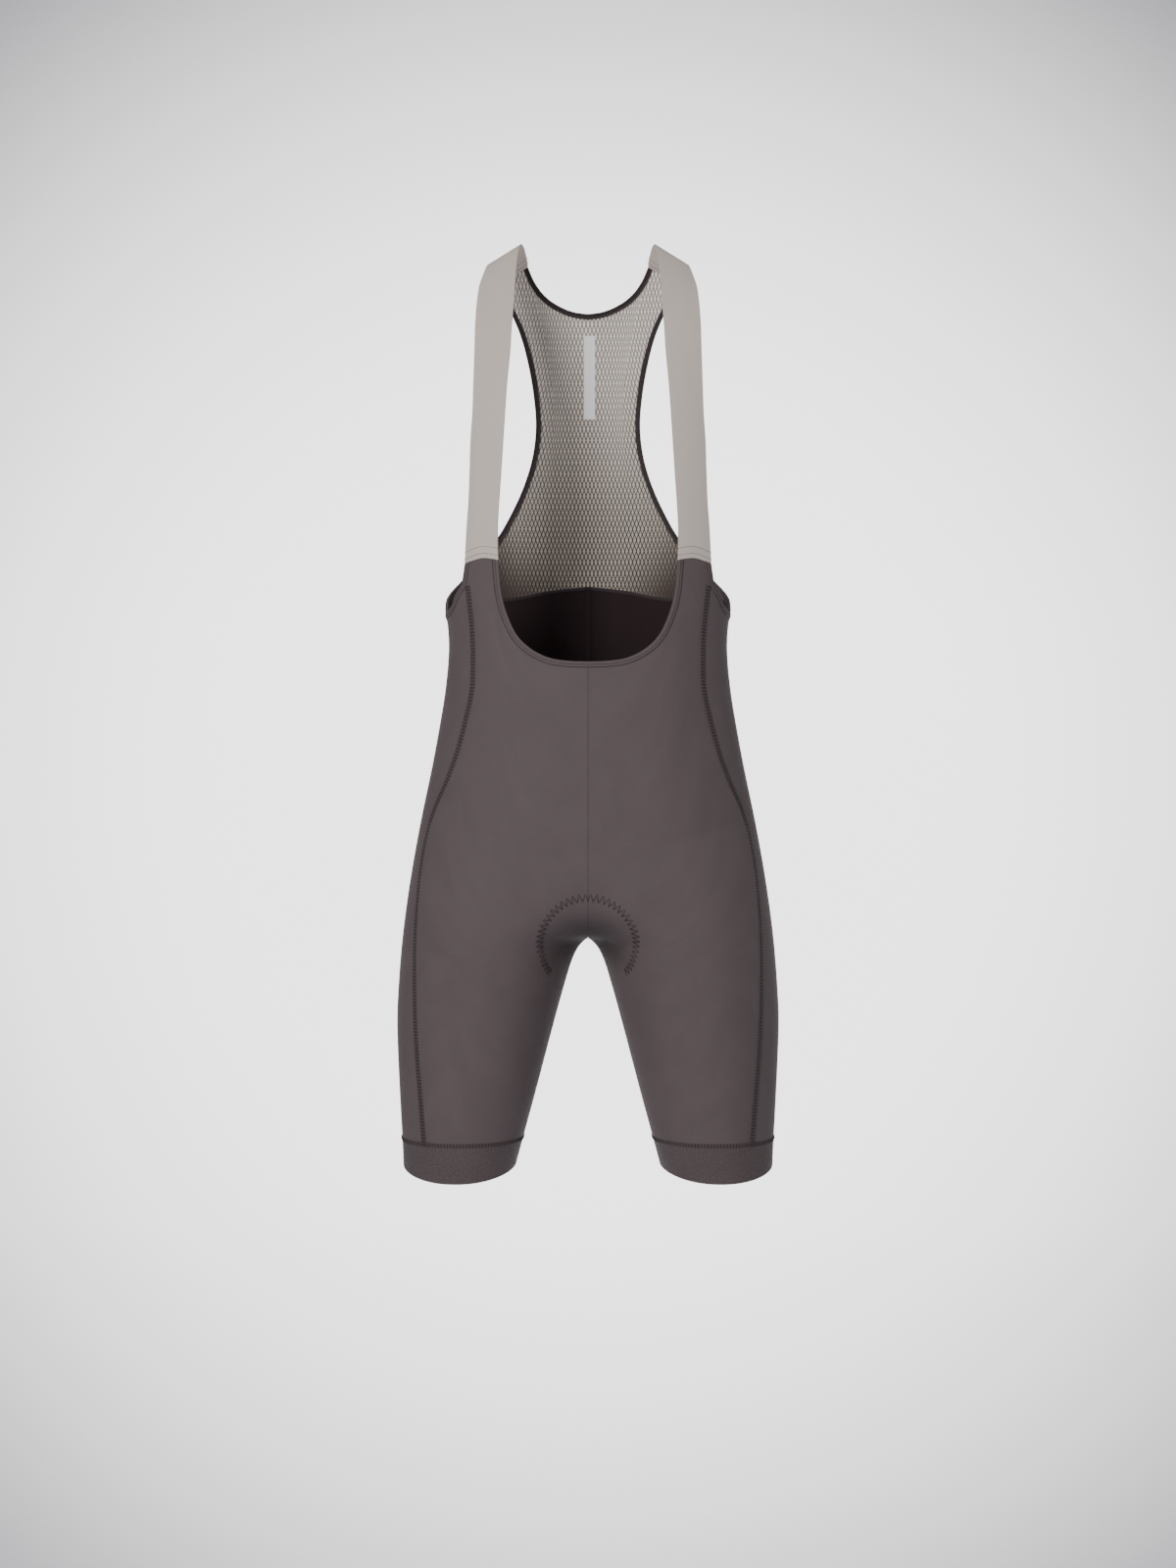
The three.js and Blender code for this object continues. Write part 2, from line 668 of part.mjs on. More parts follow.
// Front panel: neckline, strap foot and a short run of the armhole along its top
const NECK_SHARE = 0.8;
const FOOT_SHARE = 0.93;
const strapColumns = evenShares(STRAP_STEPS)
  .map((share) => THREE.MathUtils.lerp(strapInner + inset, strapOuter - inset, share));
const frontTop = [
  ...neckPanel.slice(0, -1),
  ...strapColumns.map(footSpot),
  ...armPanel.slice(1, ARM_STEPS),
  seamTopSpot(-1),
];
const neckReach = pointOf(last(neckPanel)).x;
const frontShares = [
  ...neckPanel.map((spot, i) => (NECK_SHARE * (i / NECK_STEPS + pointOf(spot).x / neckReach)) / 2),
  ...evenShares(STRAP_STEPS).slice(1).map((share) => THREE.MathUtils.lerp(NECK_SHARE, FOOT_SHARE, share)),
  ...evenShares(ARM_STEPS).slice(1).map((share) => THREE.MathUtils.lerp(FOOT_SHARE, 1, share)),
];
const frontWeight = (share) => Math.max(0, (share - NECK_SHARE) / (1 - NECK_SHARE));
const frontSheet = panelSheet(frontTop, frontShares, (level) => [-1, seamTurn(level)], frontWeight);
addPair('front_panel', frontSheet, 0, -WALL, KNIT);

// Side and back panel: the armhole and the seam to the mesh along its top
const ARM_SHARE = 0.5;
const SEAM_PULL = 0.3;
const cornerX = pointOf(last(armPanel)).x;
const backTop = evenShares(BACK_STEPS).map((share) => {
  const x = THREE.MathUtils.lerp(cornerX, 0, share);
  return trunkSpot(x, backSeamAt(x) - SEAM_GAP / 2, 1);
});
const sideTop = [seamTopSpot(1), ...armPanel.slice(ARM_STEPS + 1, -1), ...backTop];
const sideShares = [
  ...evenShares(SIDE_STEPS).map((share) => share * ARM_SHARE),
  ...evenShares(BACK_STEPS).slice(1).map((share) => THREE.MathUtils.lerp(ARM_SHARE, 1, share)),
];
const sideWeight = (share) => Math.max(0, 1 - share / SEAM_PULL);
const sideSheet = panelSheet(sideTop, sideShares, (level) => [seamTurn(level), 1], sideWeight);
addPair('side_panel', sideSheet, 0, -WALL, KNIT);

// Leg gripper: a closed band round the leg with a hem that dips at the front and back
function gripperSheet() {
  const front = shareTurns(3, -1, seamTurn(3), frontShares);
  const rear = shareTurns(3, seamTurn(3), 1, sideShares);
  const turns = [...front.slice(0, -1), ...rear.slice(0, -1)];
  const rows = evenShares(GRIPPER_ROWS).map((part) => {
    const row = turns.map((turn) => {
      const hem = HEM_SIDE - HEM_DIP * Math.sin(turn * Math.PI) ** 2;
      const z = THREE.MathUtils.lerp(GRIPPER_TOP - SEAM_GAP / 2, hem, part);
      return dressSpot({ level: gripperLevel(z), turn });
    });
    return [...row, row[0]];
  });
  return joinSheets([gridSheet(rows)]);
}

addPair('leg_gripper', gripperSheet(), 0, -GRIPPER_WALL, GRIPPER_CLOTH);

// Bindings stand a little proud of the cloth, on both faces
const bandSheet = (edge, band) => gridSheet([edge.map(dressSpot), band.map(dressSpot)]);
const BAND_INSIDE = BINDING_RISE - BINDING_WALL;
const neckHalf = bandSheet(neckEdge, neckBand);
const neckWhole = joinSheets([neckHalf, mirrorSheet(neckHalf)]);
addPiece('front_neck_binding', wallGeometry(neckWhole, BINDING_RISE, BAND_INSIDE), KNIT);
addPair('armhole_binding', bandSheet(trimEnd(armEdge), trimEnd(armBand)), BINDING_RISE, BAND_INSIDE, KNIT);

// Line where the mesh meets the strap behind the shoulder, from the neck outwards
const joinStart = last(NECK_SCOOP);
const joinEnd = last(MESH_SIDE);
const joinLength = Math.hypot(joinEnd.x - joinStart.x, joinEnd.z - joinStart.z);
function joinSpot(along, drop) {
  const share = along / joinLength;
  const x = THREE.MathUtils.lerp(joinStart.x, joinEnd.x, share);
  const z = THREE.MathUtils.lerp(joinStart.z, joinEnd.z, share) - drop;
  return trunkSpot(x, z, 1);
}

// Back neck scoop and mesh side, each as edge, foot of the binding and edge of the mesh
function darkLines(table, count, ends) {
  const edge = spotsAlong(table, 1, count);
  return [0, DARK_BINDING_WIDTH, darkInset].map((width) => {
    const line = width ? insetEdge(edge, width * ends.side) : edge;
    line[ends.at === 'end' ? count : 0] = joinSpot(ends.from + ends.step * width, SEAM_GAP / 2);
    return line;
  });
}

const corner = { x: pointOf(last(armEdge)).x, z: pointOf(last(armEdge)).z };
const scoopLines = darkLines(NECK_SCOOP, SCOOP_STEPS, { side: -1, at: 'end', from: 0, step: 1 });
const sideTable = backwards([corner, ...MESH_SIDE]);
const sideLines = darkLines(sideTable, MESH_ROWS, { side: -1, at: 'start', from: joinLength, step: -1 });
const [scoopEdge, scoopBand, scoopMesh] = scoopLines;
const [meshEdge, meshBand, meshSide] = sideLines;
const scoopHalf = bandSheet(backwards(scoopEdge), backwards(scoopBand));
const scoopWhole = joinSheets([scoopHalf, mirrorSheet(scoopHalf)]);
addPiece('back_neck_binding', wallGeometry(scoopWhole, BINDING_RISE, BAND_INSIDE), DARK_TRIM);
const sideBinding = bandSheet(backwards(trimEnd(meshEdge)), backwards(trimEnd(meshBand)));
addPair('mesh_side_binding', sideBinding, BINDING_RISE, BAND_INSIDE, DARK_TRIM);

// Back mesh: its rows and columns are blended between its four edges, as seen from behind
function meshSheet() {
  const plan = (spot) => {
    const point = pointOf(spot);
    return new THREE.Vector2(point.x, point.z);
  };
  const joinCount = STRAP_STEPS;
  const joinLine = evenShares(joinCount)
    .map((share) => joinSpot(THREE.MathUtils.lerp(darkInset, joinLength - darkInset, share), SEAM_GAP / 2));
  const top = [...scoopMesh.slice(0, -1), ...joinLine].map(plan);
  top[0].x = 0;
  const side = meshSide.map(plan);
  const footX = last(side).x;
  side[MESH_ROWS].y = backSeamAt(footX) + SEAM_GAP / 2;
  const shares = evenShares(BACK_STEPS);
  const foot = shares.map((share) => {
    const x = share < 1 ? cornerX * share : footX;
    return new THREE.Vector2(x, backSeamAt(x) + SEAM_GAP / 2);
  });
  const rows = evenShares(MESH_ROWS).map((down, i) => {
    const middle = new THREE.Vector2(0, THREE.MathUtils.lerp(top[0].y, foot[0].y, down));
    return shares.map((share, j) => {
      const across = middle.clone().lerp(side[i], share);
      const along = top[j].clone().lerp(foot[j], down);
      const upper = top[0].clone().lerp(last(top), share);
      const lower = foot[0].clone().lerp(last(foot), share);
      const place = across.add(along).sub(upper.lerp(lower, down));
      return dressSpot(trunkSpot(Math.max(place.x, 0), place.y, 1));
    });
  });
  return gridSheet(rows.map(backwards));
}

const meshHalf = meshSheet();
addPiece('back_mesh', wallGeometry(joinSheets([meshHalf, mirrorSheet(meshHalf)]), 0, -MESH_WALL), OPEN_KNIT);

// Label on the inner face of the mesh
const LABEL_LIFT = 0.45;
function labelSheet() {
  const sides = [LABEL.middle + LABEL.width / 2, LABEL.middle - LABEL.width / 2];
  const rows = evenShares(LABEL_ROWS).map((part) => sides.map((x) => {
    const spot = dressSpot(trunkSpot(Math.abs(x), THREE.MathUtils.lerp(LABEL.top, LABEL.foot, part), 1));
    spot.point.x *= Math.sign(x);
    spot.normal.x *= Math.sign(x);
    return spot;
  }));
  return gridSheet(rows);
}

const labelFace = -MESH_WALL - LABEL_LIFT;
addPiece('label', wallGeometry(labelSheet(), labelFace, labelFace - LABEL.wall), LABEL_CLOTH);

// Strap: on the front of the body from its foot, over the shoulder and down to the mesh
function strapSheet() {
  const stations = [strapInner, ...strapColumns, strapOuter];
  const shares = stations.map((x) => (x - strapInner) / (strapOuter - strapInner));
  const foot = stations.map((x) => dressSpot(trunkSpot(x, footAt(x) + SEAM_GAP / 2, -1)));
  const front = STRAP_FRONT.map((row) => shares.map((share) => (
    dressSpot(trunkSpot(THREE.MathUtils.lerp(row.inner, row.outer, share), row.z, -1))
  )));
  const shoulder = STRAP_SHOULDER.map(({ neck, outer }) => shares.map((share) => {
    const point = new THREE.Vector3(...neck).lerp(new THREE.Vector3(...outer), share);
    return { point, normal: new THREE.Vector3() };
  }));
  const end = shares.map((share) => dressSpot(joinSpot(joinLength * share, -SEAM_GAP / 2)));
  const rows = [end, ...backwards(shoulder), ...backwards(front), foot];
  const sheet = gridSheet(rows);
  const width = shares.length;
  const total = sheet.points.length;
  const ends = [...sheet.normals];
  setOwnNormals(sheet);
  for (let i = 0; i < width; i += 1) {
    sheet.normals[i] = ends[i];
    sheet.normals[total - 1 - i] = ends[total - 1 - i];
  }
  return sheet;
}

addPair('strap', strapSheet(), 0, -STRAP_WALL, ELASTIC);

// Seat pad: from the front of the crotch under it to the seat, with a wing on each inner thigh
function padFrontTurn(level) {
  const { cut } = levelRow(level);
  let near = -1;
  let far = -Math.PI / 2 / cut;
  for (let i = 0; i < 30; i += 1) {
    const turn = (near + far) / 2;
    const point = bodyPoint(level, turn);
    if (Math.hypot(point.x, point.z - PAD_CENTRE_Z) < PAD_RADIUS) near = turn;
    else far = turn;
  }
  return near;
}

function padBackTurn(level) {
  const steps = 200;
  let length = 0;
  let before = bodyPoint(level, 1);
  for (let i = 1; i <= steps; i += 1) {
    const turn = 1 - i / steps;
    const point = bodyPoint(level, turn);
    length += point.distanceTo(before);
    if (length > padReachAt(level)) return turn;
    before = point;
  }
  return 0;
}

function padSheet(levels, endsAt, edgeFirst) {
  const shares = evenShares(PAD_STEPS);
  const sheet = gridSheet(levels.map((level) => {
    const [from, to] = endsAt(level);
    return shares.map((share) => dressSpot({ level, turn: THREE.MathUtils.lerp(from, to, share) }));
  }));
  sheet.depths = levels.flatMap((level, i) => shares.map((share) => {
    const out = edgeFirst ? 1 - share : share;
    const ends = Math.min(1, i / 2, (levels.length - 1 - i) / 2);
    return PAD_EDGE + PAD_CROWN * (1 - out * out) * ends;
  }));
  return sheet;
}

const padFront = padSheet(PAD_LEVELS_FRONT, (level) => [-1, padFrontTurn(level)], false);
const padBack = padSheet(PAD_LEVELS_BACK, (level) => [padBackTurn(level), 1], true);
const padHalf = joinSheets([padFront, padBack]);
const padFace = -WALL - PAD_CLEARANCE;
const padWhole = joinSheets([padHalf, mirrorSheet(padHalf)]);
addPiece('chamois_pad', wallGeometry(padWhole, padFace, padFace), PAD_FOAM);

export default garment;
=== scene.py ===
"""Cycling bib shorts filled out with no wearer: fine cloth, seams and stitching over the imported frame.

The form is a surface with two directions. Level runs from the shoulders down to the leg openings, and turn
runs from the front middle (-1) round one side of the body (0) to the back middle (+1). Sizes are in
millimetres until a mesh is made, and the other half of the garment is the mirror image.
"""

import logging
import math
from dataclasses import dataclass, field
from enum import Enum
from functools import reduce
from typing import Callable, Optional, Sequence

import bpy
import numpy as np
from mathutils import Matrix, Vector


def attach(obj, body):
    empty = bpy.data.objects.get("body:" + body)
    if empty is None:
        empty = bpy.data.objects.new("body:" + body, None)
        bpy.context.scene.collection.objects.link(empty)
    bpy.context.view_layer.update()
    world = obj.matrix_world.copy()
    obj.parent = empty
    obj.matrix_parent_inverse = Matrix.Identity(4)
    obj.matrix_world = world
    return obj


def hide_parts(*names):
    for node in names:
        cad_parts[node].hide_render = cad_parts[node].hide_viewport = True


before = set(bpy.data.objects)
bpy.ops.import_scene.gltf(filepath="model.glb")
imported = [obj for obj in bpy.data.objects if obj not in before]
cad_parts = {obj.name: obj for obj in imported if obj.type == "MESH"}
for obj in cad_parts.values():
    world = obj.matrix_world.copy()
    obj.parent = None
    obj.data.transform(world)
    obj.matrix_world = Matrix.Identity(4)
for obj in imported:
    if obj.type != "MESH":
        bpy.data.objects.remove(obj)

log = logging.getLogger("bib_shorts")
Array = np.ndarray
MM = 0.001
# Points on each span of a smooth curve, and halvings when a crossing is searched for
CURVE_STEPS = 40
HALVINGS = 30
# Millimetres that stand for a quarter turn where the armhole is drawn out flat
TURN_LENGTH = 150.0
SHARP_ANGLE = math.radians(48)


class Side(Enum):
    """The wearer's side that a piece is on."""

    LEFT = 1
    RIGHT = -1


class Stitch(Enum):
    """How a thread lies on its row: the turn from the row's run, in degrees, and the slant to each side."""

    RUNNING = (0.0, 0.0)
    LADDER = (90.0, 0.0)
    ZIGZAG = (90.0, 18.5)


@dataclass(frozen=True)
class Form:
    """Sizes of the whole form, in millimetres."""

    trunk_top: float = -420
    trunk_foot_inner: float = -596
    trunk_foot_outer: float = -552
    crotch: float = -669
    crotch_row_outer: float = -696
    crotch_box: float = 1.35
    gripper_top: float = -863
    hem_side: float = -889
    hem_dip: float = 11.5
    chart_step: float = 100
    middle_round: float = 16
    wall: float = 1.5
    mesh_wall: float = 1.2
    strap_wall: float = 1.6
    gripper_wall: float = 1.8
    label_gap: float = 0.45
    label_wall: float = 1.0
    half_seam: float = 0.12
    edge_gap: float = 0.4
    binding_width: float = 5.6
    dark_binding_width: float = 4.6
    binding_rise: float = 0.5
    binding_wall: float = 2.5
    soft_reach: float = 44
    soft_blend: float = 18
    soft_rounds: int = 55
    pad_front_top: float = 1.36
    pad_back_top: float = 0.8
    pad_foot: float = 2.2
    pad_gap: float = 1.3
    pad_thin: float = 2
    pad_swell: float = 6


@dataclass(frozen=True)
class Fineness:
    """How many steps each net and line is divided into."""

    fan_rows: int = 26
    trunk_rows: int = 25
    crotch_rows: int = 40
    leg_rows: int = 40
    back_columns: int = 48
    ring_samples: int = 1200
    ring_columns: int = 150
    gripper_rows: int = 18
    label_columns: int = 8
    label_rows: int = 60
    strap_columns: int = 12
    strap_rows: int = 170
    pad_columns: int = 14
    pad_front_rows: int = 44
    pad_back_rows: int = 69
    reach_samples: int = 500
    seam_rows: int = 300
    hem_steps: int = 240


FINE = Fineness()


# Half width of the body at its side: z, x
SIDE = [
    (20, 152), (-90, 149), (-220, 146), (-308, 143), (-330, 142), (-343, 141), (-353, 139), (-364, 136.9),
    (-378, 135.8), (-392, 135.8), (-414, 137.5), (-442, 141.2), (-500, 151.7), (-557, 163.6), (-615, 173.9),
    (-672, 181.4), (-730, 185.7), (-758, 186.1), (-816, 183.7), (-866, 181), (-905, 179.4),
]
# Reach to the front and the back, where the side lies between them, and how square the section is
DEPTH_COLUMNS = ("z", "front", "back", "middle", "square")
DEPTH = [
    (20, -6, 18, 0, 2.3), (-5, -14, 42, 0, 2.3), (-23, -24, 52, 0, 2.3), (-48, -38, 66, 0, 2.3),
    (-78, -53, 79, 0, 2.3), (-110, -66, 89, 0, 2.35), (-156, -80, 98, 0, 2.4), (-220, -91, 102, 0, 2.4),
    (-268, -94, 101, 0, 2.45), (-308, -95, 98, 0, 2.5), (-350, -94, 96, 0, 2.5), (-400, -95, 97, 1, 2.45),
    (-450, -99, 103, 2, 2.4), (-500, -102, 112, 4, 2.45), (-550, -105, 120, 6, 2.5), (-600, -106, 124, 7, 2.45),
    (-640, -104, 120, 7, 2.35), (-680, -99.5, 110, 6, 2.25), (-720, -93.5, 98, 4, 2.15), (-787, -82, 83, 1, 2.1),
    (-844, -71, 71, 0, 2.1), (-889, -64, 64, 0, 2.1), (-905, -62, 62, 0, 2.1),
]
# Half of the gap between the legs: z, x
INSEAM = [(-669, 0), (-690, 15.2), (-715, 23), (-758, 34.9), (-816, 50.2), (-873, 65.7), (-905, 74.2)]
# Side seam from the front: z, x
SIDE_SEAM = [
    (-322, 117.2), (-333, 114.4), (-348, 112.6), (-380, 109.8), (-417, 109.4), (-432, 110.5), (-454, 115.2),
    (-487, 124), (-516, 134.7), (-542, 146.6), (-566, 154.3), (-606, 160.9), (-669, 165), (-733, 165),
    (-781, 162.9), (-811, 160.5), (-857, 157.1), (-905, 153),
]
# Cut edges from the middle outwards or from the strap outwards: x, z
NECKLINE = [
    (0, -404), (18, -403.4), (36.7, -400.4), (54.7, -391.2), (67.7, -378.1), (78.3, -354.6), (82.5, -336),
    (84.9, -308),
]
STRAP_FOOT = [(84.9, -308), (100.5, -305.6), (117.2, -310)]
ARMHOLE_FRONT = [(117.2, -310), (118.6, -319.5), (120.2, -329)]
BACK_SEAM = [
    (0, -320.4), (40, -325), (62, -329.6), (84, -333), (104, -333.2), (118, -329.8), (126.7, -323.6),
    (129, -318.5),
]
MESH_SIDE = [
    (107, -290.5), (91, -268.8), (78.1, -245.3), (64.9, -215.4), (56.2, -185.6), (53, -155.7), (55.3, -124.5),
    (60.5, -95), (68, -68), (80, -42), (92, -23),
]
NECK_SCOOP = [(0, -47.4), (14, -45.6), (26.1, -41.5), (38.7, -34.6), (47, -27.2), (54, -17.5), (59.8, -5.3)]
# Armhole under the arm: degrees round the half body from the side, z
ARMHOLE_SIDE = [
    (-31.5, -338.2), (-25.8, -346.6), (-19.7, -350.9), (-10, -353.6), (-2, -353.2), (5.4, -345.5), (10, -338),
    (17.5, -330.4), (24, -324.4), (30, -318.5),
]
# Strap on the front: z, inner edge, outer edge
STRAP_FRONT = [
    (-278, 85.4, 115.6), (-250, 83.9, 113.6), (-222, 82, 112.6), (-194, 80.3, 111.9), (-166, 78.6, 110.2),
    (-137, 76.8, 109.5), (-108, 74.3, 108.9), (-78, 72.8, 108.5),
]
# Strap over the shoulder: a point of its neck edge and of its outer edge
STRAP_SHOULDER = [
    ((71.2, -37, -49), (107.6, -30, -56)), ((70, -24.5, -24), (105.6, -18, -36)),
    ((68.5, -12.5, -5), (102, -9, -22.5)), ((66.9, -5.5, 4), (99.8, -4, -15.5)),
    ((65.8, 1.5, 8.8), (98.2, 2, -11.2)), ((64.4, 9, 10), (96.8, 9, -10)),
    ((62.9, 17.5, 7.4), (95, 18, -12.4)), ((61.2, 28, 2), (93.4, 30, -17.4)),
]
# Label: its sides across the middle and its ends
LABEL_SIDES, LABEL_ENDS = (7.25, -4.25), (-67, -148.5)
# Reach of the seat pad round the body from the back middle: level, reach
PAD_BACK = [(0.8, 34), (0.9, 54), (1, 66), (1.33, 79), (1.67, 80), (2, 68), (2.1, 51), (2.2, 28)]


# Soft creases at the top of the thigh: rise, height at the middle, lean, width
CREASES = [(0.9, -618, -0.55, 9.0), (0.7, -648, -0.75, 8.0), (0.6, -585, -0.35, 11.0)]
# Rings round the crotch as seen from the front, the pad's edge and its stitches: height of the middle, radius
PAD_RING, STITCH_RING = (-678, 47.5), (-671, 45.4)
# Width and rise of the bands that cover the seams
BANDS = {"tape": (6.0, 0.02), "side_seam": (6.4, 0.6), "gripper_seam": (4.2, 0.4), "mesh_seam": (3.6, 0.5)}


class Curve:
    """A smooth curve through a short table, read at any value of its first column."""

    def __init__(self, rows: Sequence[tuple[float, float]]) -> None:
        """Sorts the rows and works out a slope at each.

        Args:
            rows: pairs of key and value.
        """
        table = np.array(sorted(rows), float)
        self.keys, self.values = table[:, 0], table[:, 1]
        index = np.arange(len(table))
        before, after = np.maximum(index - 1, 0), np.minimum(index + 1, len(table) - 1)
        rise = self.values[after] - self.values[before]
        self.slopes = rise / (self.keys[after] - self.keys[before])

    def __call__(self, at: Array | float) -> Array:
        """Reads the curve, held level past its ends.

        Args:
            at: the keys to read.

        Returns:
            The values there.
        """
        at = np.asarray(at, float)
        i = np.clip(np.searchsorted(self.keys, at) - 1, 0, len(self.keys) - 2)
        span = self.keys[i + 1] - self.keys[i]
        t = np.clip((at - self.keys[i]) / span, 0, 1)
        level = self.values[i] * (1 + 2 * t) * (1 - t) ** 2 + self.values[i + 1] * t * t * (3 - 2 * t)
        return level + span * t * (1 - t) * (self.slopes[i] * (1 - t) - self.slopes[i + 1] * t)


def lerp(start: Array | float, end: Array | float, share: Array | float) -> Array | float:
    """Goes a share of the way from start to end."""
    return start + (end - start) * share


def unit(vectors: Array) -> Array:
    """Returns the vectors at length one."""
    return vectors / np.maximum(np.linalg.norm(vectors, axis=-1, keepdims=True), 1e-12)


def bell(away: Array, width: float) -> Array:
    """Returns a bell curve, 1 in the middle."""
    return np.exp(-((away / width) ** 2))


def run_length(points: Array) -> Array:
    """Returns how far each point lies along a line of points."""
    return np.concatenate([[0], np.cumsum(np.linalg.norm(np.diff(points, axis=0), axis=1))])


def smooth_path(points: Array, count: int) -> Array:
    """Runs a centripetal curve through points and spaces points evenly on it.

    Args:
        points: the points to pass, one a row.
        count: how many equal steps to take.

    Returns:
        count + 1 points.
    """
    points = np.asarray(points, float)
    ends = [2 * points[0] - points[1], *points, 2 * points[-1] - points[-2]]
    t = np.linspace(0, 1, CURVE_STEPS, endpoint=False)[:, None]
    pieces = []
    for p0, p1, p2, p3 in zip(ends, ends[1:], ends[2:], ends[3:]):
        d0, d1, d2 = (max(np.linalg.norm(b - a), 1e-9) ** 0.5 for a, b in ((p0, p1), (p1, p2), (p2, p3)))
        m1 = ((p1 - p0) / d0 - (p2 - p0) / (d0 + d1) + (p2 - p1) / d1) * d1
        m2 = ((p2 - p1) / d1 - (p3 - p1) / (d1 + d2) + (p3 - p2) / d2) * d1
        pieces.append(p1 + m1 * t + (3 * (p2 - p1) - 2 * m1 - m2) * t**2 + (2 * (p1 - p2) + m1 + m2) * t**3)
    return even_path(np.vstack([*pieces, points[-1:]]), count)


def even_path(points: Array, count: int) -> Array:
    """Spaces points evenly along a line of points.

    Args:
        points: the line, one point a row.
        count: how many equal steps to take.

    Returns:
        count + 1 points.
    """
    length = run_length(points)
    goal = np.linspace(0, length[-1], count + 1)
    return np.stack([np.interp(goal, length, points[:, k]) for k in range(points.shape[1])], axis=1)


@dataclass
class Spots:
    """Places on the form, as a level and a turn each."""

    level: Array
    turn: Array

    def __getitem__(self, key: object) -> "Spots":
        """Picks some of the spots."""
        return Spots(self.level[key], self.turn[key])

    @staticmethod
    def join(*runs: "Spots") -> "Spots":
        """Makes one run of several."""
        return Spots(np.concatenate([r.level for r in runs]), np.concatenate([r.turn for r in runs]))

    def put(self, index: int, spot: "Spots") -> None:
        """Sets one spot to the first of another run."""
        self.level[index], self.turn[index] = np.ravel(spot.level)[0], np.ravel(spot.turn)[0]


